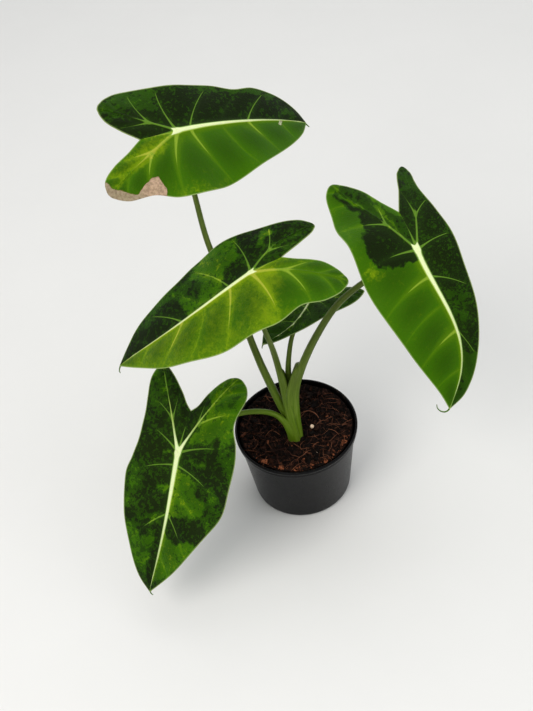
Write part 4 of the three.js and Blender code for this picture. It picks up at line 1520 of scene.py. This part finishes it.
class ALOCASIA_OT_mix(Operator):
    """Builds the bed of potting mix, and the chips, crumbs, fibres, root and pellets on it"""

    bl_idname = "alocasia.mix"
    bl_label = "Potting mix"

    def execute(self, context):
        settings = context.scene.alocasia_mix
        reach = wall_radius(POT_HEIGHT - RIM_BAND) - WALL - GAP
        self.bed(settings, reach)
        self.loose_bits(settings, reach)
        self.root_and_pellets(settings)
        return {"FINISHED"}

    def bed(self, settings, reach):
        """The plug of mix that fills the pot, lumpy on top"""
        foot = BASE_RADIUS - WALL - BASE_CHAMFER - GAP
        shoulder = FLOOR + BASE_CHAMFER + GAP
        rings = [(0, FLOOR + GAP), (foot, FLOOR + GAP), (BASE_RADIUS - WALL - GAP, shoulder)]
        rings.append((reach, POT_HEIGHT - RIM_BAND - RIM_STEP))
        top_rings = 100
        rings.extend((reach * k / top_rings, SOIL_TOP) for k in range(top_rings, -1, -1))
        rings = np.array(rings)
        bed, turn_share, ring_share = new_grid("mix_bed", 300, len(rings) - 1)
        ring = np.rint(ring_share * (len(rings) - 1)).astype(int)
        angle = -2 * np.pi * turn_share
        radius, height = rings[ring].T
        x, y = radius * np.cos(angle), radius * np.sin(angle)
        on_top = height >= SOIL_TOP
        height[on_top] = grain_height(x[on_top], y[on_top])
        put(bed, np.column_stack([x, y, height]) * MM)
        chance = np.random.default_rng(settings.seed)
        shade = np.clip(chance.normal(0.16, 0.16, len(x)), 0, 1)
        write_field(bed, "shade", np.column_stack([shade, shade, shade]))
        merge_doubles(bed)
        face_outwards(bed)
        smooth(bed, 60)
        finish_piece(bed, "soil", "soil", mix_material("mix_surface", settings, 0.5))

    def loose_bits(self, settings, reach):
        """Chips, crumbs and fibres, the chips and crumbs paler along the front rim"""
        chance = random.Random(settings.seed)
        blocks = [
            bits_template("chip_shape", np.array(size), 0.13, settings.seed + k)
            for k, size in enumerate([(1, 0.34, 0.2), (1, 0.55, 0.3), (1, 0.7, 0.45), (1, 0.25, 0.22)])
        ]
        chips = []
        for k in range(settings.chip_count):
            x, y = open_place(chance, reach - 1.6)
            length = 1.6 + 5.4 * chance.random() ** 2.6
            turn = Euler((chance.gauss(0, 0.4), chance.gauss(0, 0.4), chance.uniform(0, 2 * math.pi)))
            paler = front_share(x, y, reach)
            shade = min(1.1, abs(chance.gauss(0.05, 0.3)) + 0.9 * paler * chance.random())
            place = np.array([x, y, mix_height(x, y) + chance.uniform(-0.1, 0.9)])
            chips.append((k % len(blocks), place, turn, length, shade))
        chip_piece = scatter("bark_chips", blocks, chips)
        smooth(chip_piece, 30)
        finish_piece(chip_piece, None, "soil", mix_material("bark", settings, 0.95))

        crumbs = []
        for k in range(settings.crumb_count):
            x, y = open_place(chance, reach - 0.8)
            turn = Euler([chance.uniform(0, math.pi) for _ in range(3)])
            paler = front_share(x, y, reach)
            shade = min(1.0, abs(chance.gauss(0.06, 0.2)) + 1.1 * paler * chance.random())
            place = np.array([x, y, mix_height(x, y) + chance.uniform(0.2, 1.1)])
            crumbs.append((1 + k % 2, place, turn, chance.uniform(0.6, 1.5), shade))
        crumb_piece = scatter("mix_crumbs", blocks, crumbs)
        smooth(crumb_piece, 30)
        finish_piece(crumb_piece, None, "soil", mix_material("mix_crumb", settings, 0.8))

        bends = ((0.25, 0.2), (-0.45, 0.3), (0.8, 0.15), (0.1, 0.4))
        strands = [strand_template(curl, lift) for curl, lift in bends]
        fibres = []
        for k in range(settings.fibre_count):
            x, y = open_place(chance, reach - 4)
            turn = Euler((chance.gauss(0, 0.2), chance.gauss(0, 0.15), chance.uniform(0, 2 * math.pi)))
            place = np.array([x, y, mix_height(x, y) + 0.9])
            shade = chance.random() ** 2
            fibres.append((k % len(strands), place, turn, chance.uniform(5, 15), shade))
        fibre_piece = scatter("coir_fibres", strands, fibres)
        smooth(fibre_piece, 75)
        finish_piece(fibre_piece, None, "soil", fibre_material(settings))

    def root_and_pellets(self, settings):
        """A thin root that arches over the mix behind the stalks, and two feed pellets"""
        arch = [(3, 14, 0), (8, 17, 2.2), (15, 16, 3), (21, 11, 2.4), (24, 5, 1.4), (25, 0, 0)]
        points = [(x, y, float(soil_height(x, y)) + rise) for x, y, rise in arch]

        def root_radius(share, turn):
            return 0.55 - 0.25 * share

        root = tube("surface_root", Route(points), 12, 90, root_radius, (0, 0, 1))
        shade = np.full((len(root.data.vertices), 3), 0.62)
        write_field(root, "shade", shade)
        smooth(root, 60)
        finish_piece(root, None, "soil", bpy.data.materials["coir_fibre"])
        pellet = pellet_material(settings)
        for name, x, y, radius in (("pellet_large", 15.5, -3.5, 1.9), ("pellet_small", 15.8, -36.5, 1.2)):
            height = float(soil_height(x, y)) + 0.7 * radius + 0.7
            bpy.ops.object.select_all(action="DESELECT")
            place = (x * MM, y * MM, height * MM)
            bpy.ops.mesh.primitive_ico_sphere_add(subdivisions=4, radius=radius * MM, location=place)
            piece = bpy.context.object
            piece.name = name
            bpy.ops.object.transform_apply(location=True, rotation=True, scale=True)
            centre = np.array([x, y, height])
            out = places_of(piece) / MM - centre
            start = Vector((x, y, 0))
            dents = [noise.noise(Vector(direction) * 1.1 + start) for direction in out]
            put(piece, (centre + out * (1 + 0.09 * np.array(dents))[:, None]) * MM)
            smooth(piece, 80)
            finish_piece(piece, None, "soil", pellet)


# The stalks


def stalk_stations(leaf):
    """The stalk's route from in the mix to the underside of its blade, with its radius at each place"""
    angle = math.radians(leaf["clump_angle"])
    x = CLUMP[0] + CLUMP_RING * math.cos(angle)
    y = CLUMP[1] + CLUMP_RING * math.sin(angle)
    step = 0.5
    around = blade_points(leaf, np.array([[step, 0], [-step, 0], [0, step], [0, -step]]), np.zeros(4))
    normal = np.cross(around[0] - around[1], around[2] - around[3])
    normal = normal / np.linalg.norm(normal)
    joint = np.array(leaf["joint"])
    end_radius = leaf["way"][-1][3]
    under = joint - normal * (BLADE + RIB_DEPTH + GAP)
    neck = under - normal * 2 * end_radius
    return [
        (x, y, STALK_FOOT, STALK_FOOT_RADIUS),
        (x, y, SOIL_TOP, STALK_FOOT_RADIUS),
        *leaf["way"],
        (*neck, end_radius),
        (*(joint - normal * 1.2), end_radius * 1.15),
    ]


class ALOCASIA_OT_stalks(Operator):
    """Builds the five leaf stalks, each with the winged sheath at its foot that holds the younger ones"""

    bl_idname = "alocasia.stalks"
    bl_label = "Stalks"

    def execute(self, context):
        settings = context.scene.alocasia_stalks
        skin = stalk_material(settings)
        for leaf in LEAVES:
            stalk = self.stalk(leaf, settings)
            smooth(stalk, 60)
            finish_piece(stalk, f"stalk_{leaf['name']}", "stalk", skin)
        return {"FINISHED"}

    def stalk(self, leaf, settings):
        """One stalk: a round tapered tube, with the two edges of its sheath drawn out inwards"""
        stations = stalk_stations(leaf)
        route = Route([station[:3] for station in stations])
        radii = [station[3] for station in stations]
        sheath = leaf["sheath"]
        opening = math.radians(54)
        wing_width = math.radians(27)
        flare_length = 7

        def radius_at(share, turn):
            radius = np.interp(route.knot(share), np.arange(len(radii)), radii)
            along = share * route.length
            flare = ease(route.length - flare_length, route.length, along)
            radius = radius * (1 + 0.25 * flare)
            if not sheath:
                return radius
            off_centre = np.abs(np.abs(turn - np.pi) - (np.pi - opening))
            wing = np.exp(-((off_centre / wing_width) ** 2))
            hollow = np.exp(-(((np.pi - np.abs(turn - np.pi)) / (0.7 * opening)) ** 2))
            held = ease(0.1 * sheath, 0.8 * sheath, along) * ease(sheath + 5, sheath - 3, along)
            groove = ease(sheath + 40, sheath - 5, along)
            return radius * (1 + leaf["wing"] * wing * held - 0.14 * hollow * groove)

        angle = math.radians(leaf["opening"])
        towards = (math.cos(angle), math.sin(angle), 0)
        return tube(f"petiole_{leaf['name']}", route, settings.sides, settings.steps, radius_at, towards)


# The blades


def vein_shares(veins, rows):
    """Shares of the margin for the rows of a sheet, with a row exactly on each vein"""
    shares = [0]
    for low, high in zip(veins, veins[1:]):
        steps = max(2, round(rows * (high - low)))
        shares.extend(np.linspace(low, high, steps + 1)[1:])
    return np.array(shares)


def column_shares(columns):
    """Shares of a row for the columns of a sheet, closer together at the rib and at the margin"""
    even = np.linspace(0, 1, columns + 1)
    return 0.3 * even + 0.7 * (3 * even**2 - 2 * even**3)


class ALOCASIA_OT_blades(Operator):
    """Builds the five blades from rows laid along their veins, and keeps the fields their material reads"""

    bl_idname = "alocasia.blades"
    bl_label = "Blades"

    def execute(self, context):
        settings = context.scene.alocasia_blades
        top = blade_top_material(settings)
        underside = blade_underside_material(settings)
        for leaf in LEAVES:
            blade = self.blade(leaf, settings)
            finish_piece(blade, f"blade_{leaf['name']}", "blade", top, underside)
        return {"FINISHED"}

    def sheet(self, leaf, sector, lines, settings):
        """One sheet between two veins of the skeleton, or between the skeleton and the margin"""
        is_lobe = sector["veins"] is LOBE_VEINS
        shares = vein_shares(sector["veins"], settings.rows * 0.55 if is_lobe else settings.rows)
        columns = column_shares(settings.columns)
        piece, long_share, cross_share = new_grid("leaf_sheet", len(shares) - 1, settings.columns)
        share = shares[np.rint(long_share * (len(shares) - 1)).astype(int)]
        across = columns[np.rint(cross_share * settings.columns).astype(int)]
        root, margin = sector["root"](share), sector["margin"](share)
        flat, reach = row_points(root, margin, across)

        veins = np.array(sector["veins"])
        interval = np.clip(np.searchsorted(veins, share, side="right") - 1, 0, len(veins) - 2)
        within = (share - veins[interval]) / (veins[interval + 1] - veins[interval])
        cell = np.abs(np.sin(np.pi * within)) ** 0.75 * np.sin(np.pi * across)
        put(piece, blade_points(leaf, flat, QUILT * cell) * MM)

        rib, white, vein = [
            merged_closeness([closeness(flat, *line) for line in group]) for group in lines[:3]
        ]
        edge = np.min([closeness(flat, *line) for line in lines[3]], axis=0)
        write_field(piece, "veins", np.column_stack([white, vein, edge]))

        down = np.clip(np.abs(flat[:, 0]) / leaf["length"], 0, 1)
        rib_depth = RIB_DEPTH * (1 - RIB_TAPER * down) * (LOBE_RIB_SHARE if is_lobe else 1)
        ridge = np.maximum(rib_depth * np.exp(-0.55 * rib**2), VEIN_DEPTH * np.exp(-0.3 * vein**2))
        write_field(piece, "flat", np.column_stack([flat, ridge * ease(0, 1.2, edge)]))
        shape = leaf[sector["side"]]
        tone = patch_field(shape["patches"], ragged(flat, 3.2), shape["tone"])
        scorch = patch_field(leaf["scorch"], ragged(flat, 0.8), 0)
        write_field(piece, "pattern", np.column_stack([tone, np.full(len(tone), shape["mottle"]), scorch]))
        margin_route = Route(sector["margin"](np.linspace(0, 1, 30)))
        write_field(piece, "rows", np.column_stack([share * margin_route.length, across * reach, cell]))
        if sector["up"]:
            in_edit_mode(piece, lambda: bpy.ops.mesh.flip_normals())
        return piece

    def blade(self, leaf, settings):
        """The whole blade: its six sheets as one, thickened, ribbed underneath, with its drip tip"""
        lines = leaf_lines(leaf)
        sheets = [self.sheet(leaf, sector, lines, settings) for sector in sectors(leaf)]
        only(*sheets)
        bpy.ops.object.join()
        blade = bpy.context.object
        blade.name = f"leaf_{leaf['name']}"
        merge_doubles(blade, 0.01 * MM)

        count = len(blade.data.vertices)
        only(blade)
        wall = blade.modifiers.new("Thickness", "SOLIDIFY")
        wall.thickness = settings.thickness
        wall.offset = -1
        wall.use_even_offset = False
        wall.material_offset = 1
        blade.data.materials.append(None)
        blade.data.materials.append(None)
        bpy.ops.object.modifier_apply(modifier=wall.name)

        ridge = read_field(blade, "flat")[:, 2]
        places = places_of(blade)
        upper = places[:count]
        lower = places[count:]
        down = lower - upper
        down = down / np.maximum(np.linalg.norm(down, axis=1), 1e-9)[:, None]
        places[count:] = lower + down * (ridge[count:] * MM)[:, None]
        put(blade, places)

        tip = self.drip_tip(leaf)
        only(tip, blade)
        bpy.ops.object.join()
        smooth(blade, 50)
        return blade

    def drip_tip(self, leaf):
        """The thin curled point beyond the blade's tip"""
        flat = np.array([(leaf["length"] - 3, 0), *leaf["drip"]], float)
        rise = np.linspace(-0.2, -1.5, len(flat))
        route = Route(blade_points(leaf, flat, rise))
        tip = tube("drip_tip", route, 10, 40, lambda share, turn: 0.85 - 0.5 * share, (0, 0, 1))
        count = len(tip.data.vertices)
        ends = np.tile([leaf["length"], 0, 0.5], (count, 1))
        write_field(tip, "flat", ends)
        write_field(tip, "veins", np.tile([1.4, 3.0, 1.0], (count, 1)))
        write_field(tip, "pattern", np.tile([0.7, 0.0, 0.0], (count, 1)))
        return tip


# Floor, lights and camera


def soft_light(name, place, aim, size, power, colour):
    """A square area light that faces a point"""
    bpy.ops.object.light_add(type="AREA", location=place)
    light = bpy.context.object
    light.name = name
    light.data.energy = power
    light.data.size = size
    light.data.color = colour
    light.rotation_euler = (Vector(aim) - Vector(place)).to_track_quat("-Z", "Y").to_euler()
    return light


class ALOCASIA_OT_stage(Operator):
    """Lays the floor, sets the soft lights and stands the camera where the photograph was taken"""

    bl_idname = "alocasia.stage"
    bl_label = "Floor, lights and camera"

    def execute(self, context):
        settings = context.scene.alocasia_stage
        bpy.ops.object.select_all(action="DESELECT")
        bpy.ops.mesh.primitive_plane_add(size=24)
        floor = context.object
        floor.name = "floor"
        floor.data.materials.append(floor_material(settings))

        aim = (0, 0, 0.2)
        soft_light("key_light", (-0.9, -0.9, 1.7), aim, 1.1, settings.key_power, (1.0, 0.98, 0.95))
        soft_light("fill_light", (1.3, -0.7, 1.0), aim, 1.2, settings.fill_power, (0.95, 0.98, 1.0))
        soft_light("top_light", (0.2, 0.8, 1.6), aim, 1.4, settings.top_power, (1.0, 1.0, 1.0))
        world = bpy.data.worlds.new("soft_sky")
        context.scene.world = world
        world.use_nodes = True
        background = world.node_tree.nodes["Background"]
        background.inputs["Color"].default_value = (0.96, 0.98, 1.0, 1.0)
        background.inputs["Strength"].default_value = 0.66
        context.scene.view_settings.view_transform = "Standard"
        self.camera(context)
        return {"FINISHED"}

    def camera(self, context):
        """The camera looks down at the rim, rolled a little, and sees it at its place in the photograph"""
        rim = np.array([0, 0, POT_HEIGHT])
        distance = RIM_RADIUS * FOCAL_PIXELS / RIM_RADIUS_PIXELS
        elevation = math.radians(CAMERA_ELEVATION)
        roll = math.radians(CAMERA_ROLL)
        stand = rim + distance * np.array([0, -math.cos(elevation), math.sin(elevation)])
        towards_rim = (rim - stand) / distance
        level = np.array([1, 0, 0])
        upright = np.cross(level, towards_rim)
        right = math.cos(roll) * level - math.sin(roll) * upright
        up = math.sin(roll) * level + math.cos(roll) * upright
        off_right = (RIM_CENTRE_PIXEL[0] - PHOTO_WIDTH / 2) / FOCAL_PIXELS
        off_up = (PHOTO_HEIGHT / 2 - RIM_CENTRE_PIXEL[1]) / FOCAL_PIXELS
        forward = towards_rim - off_right * right - off_up * up
        forward = forward / np.linalg.norm(forward)
        right = right - forward * (right @ forward)
        right = right / np.linalg.norm(right)
        up = np.cross(right, forward)

        bpy.ops.object.camera_add(location=stand * MM)
        camera = context.object
        camera.name = "photo_camera"
        camera.data.sensor_width = 36
        camera.data.lens = FOCAL_PIXELS / PHOTO_HEIGHT * camera.data.sensor_width
        camera.data.clip_start = 0.01
        turn = Matrix([right, up, -forward]).transposed()
        camera.rotation_euler = turn.to_euler()
        context.scene.camera = camera


class ALOCASIA_PT_panel(Panel):
    """Lists the parts of the plant and what can be changed about them"""

    bl_idname = "ALOCASIA_PT_panel"
    bl_label = "Potted alocasia"
    bl_space_type = "VIEW_3D"
    bl_region_type = "UI"
    bl_category = "Alocasia"

    def draw(self, context):
        for operator, name in PARTS:
            box = self.layout.box()
            box.operator(operator.bl_idname)
            settings = getattr(context.scene, name)
            for key in settings.__annotations__:
                box.prop(settings, key)


PARTS = (
    (ALOCASIA_OT_pot, "alocasia_pot"),
    (ALOCASIA_OT_mix, "alocasia_mix"),
    (ALOCASIA_OT_stalks, "alocasia_stalks"),
    (ALOCASIA_OT_blades, "alocasia_blades"),
    (ALOCASIA_OT_stage, "alocasia_stage"),
)
SETTINGS = (PotSettings, MixSettings, StalkSettings, BladeSettings, StageSettings)


def register():
    """Registers the settings, the operators and the panel"""
    for kind, (operator, name) in zip(SETTINGS, PARTS):
        bpy.utils.register_class(kind)
        bpy.utils.register_class(operator)
        setattr(bpy.types.Scene, name, PointerProperty(type=kind))
    bpy.utils.register_class(ALOCASIA_PT_panel)


def unregister():
    """Takes the panel, the settings and the operators away again"""
    bpy.utils.unregister_class(ALOCASIA_PT_panel)
    for kind, (operator, name) in zip(SETTINGS, PARTS):
        delattr(bpy.types.Scene, name)
        bpy.utils.unregister_class(operator)
        bpy.utils.unregister_class(kind)


def main():
    """Builds the shared node groups and every part in turn"""
    register()
    GROUPS["variegation"] = variegation_group()
    GROUPS["streaks"] = streak_group()
    GROUPS["speckle"] = speckle_group()
    bpy.ops.alocasia.pot()
    bpy.ops.alocasia.mix()
    bpy.ops.alocasia.stalks()
    bpy.ops.alocasia.blades()
    bpy.ops.alocasia.stage()
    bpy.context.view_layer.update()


if __name__ == "__main__":
    main()
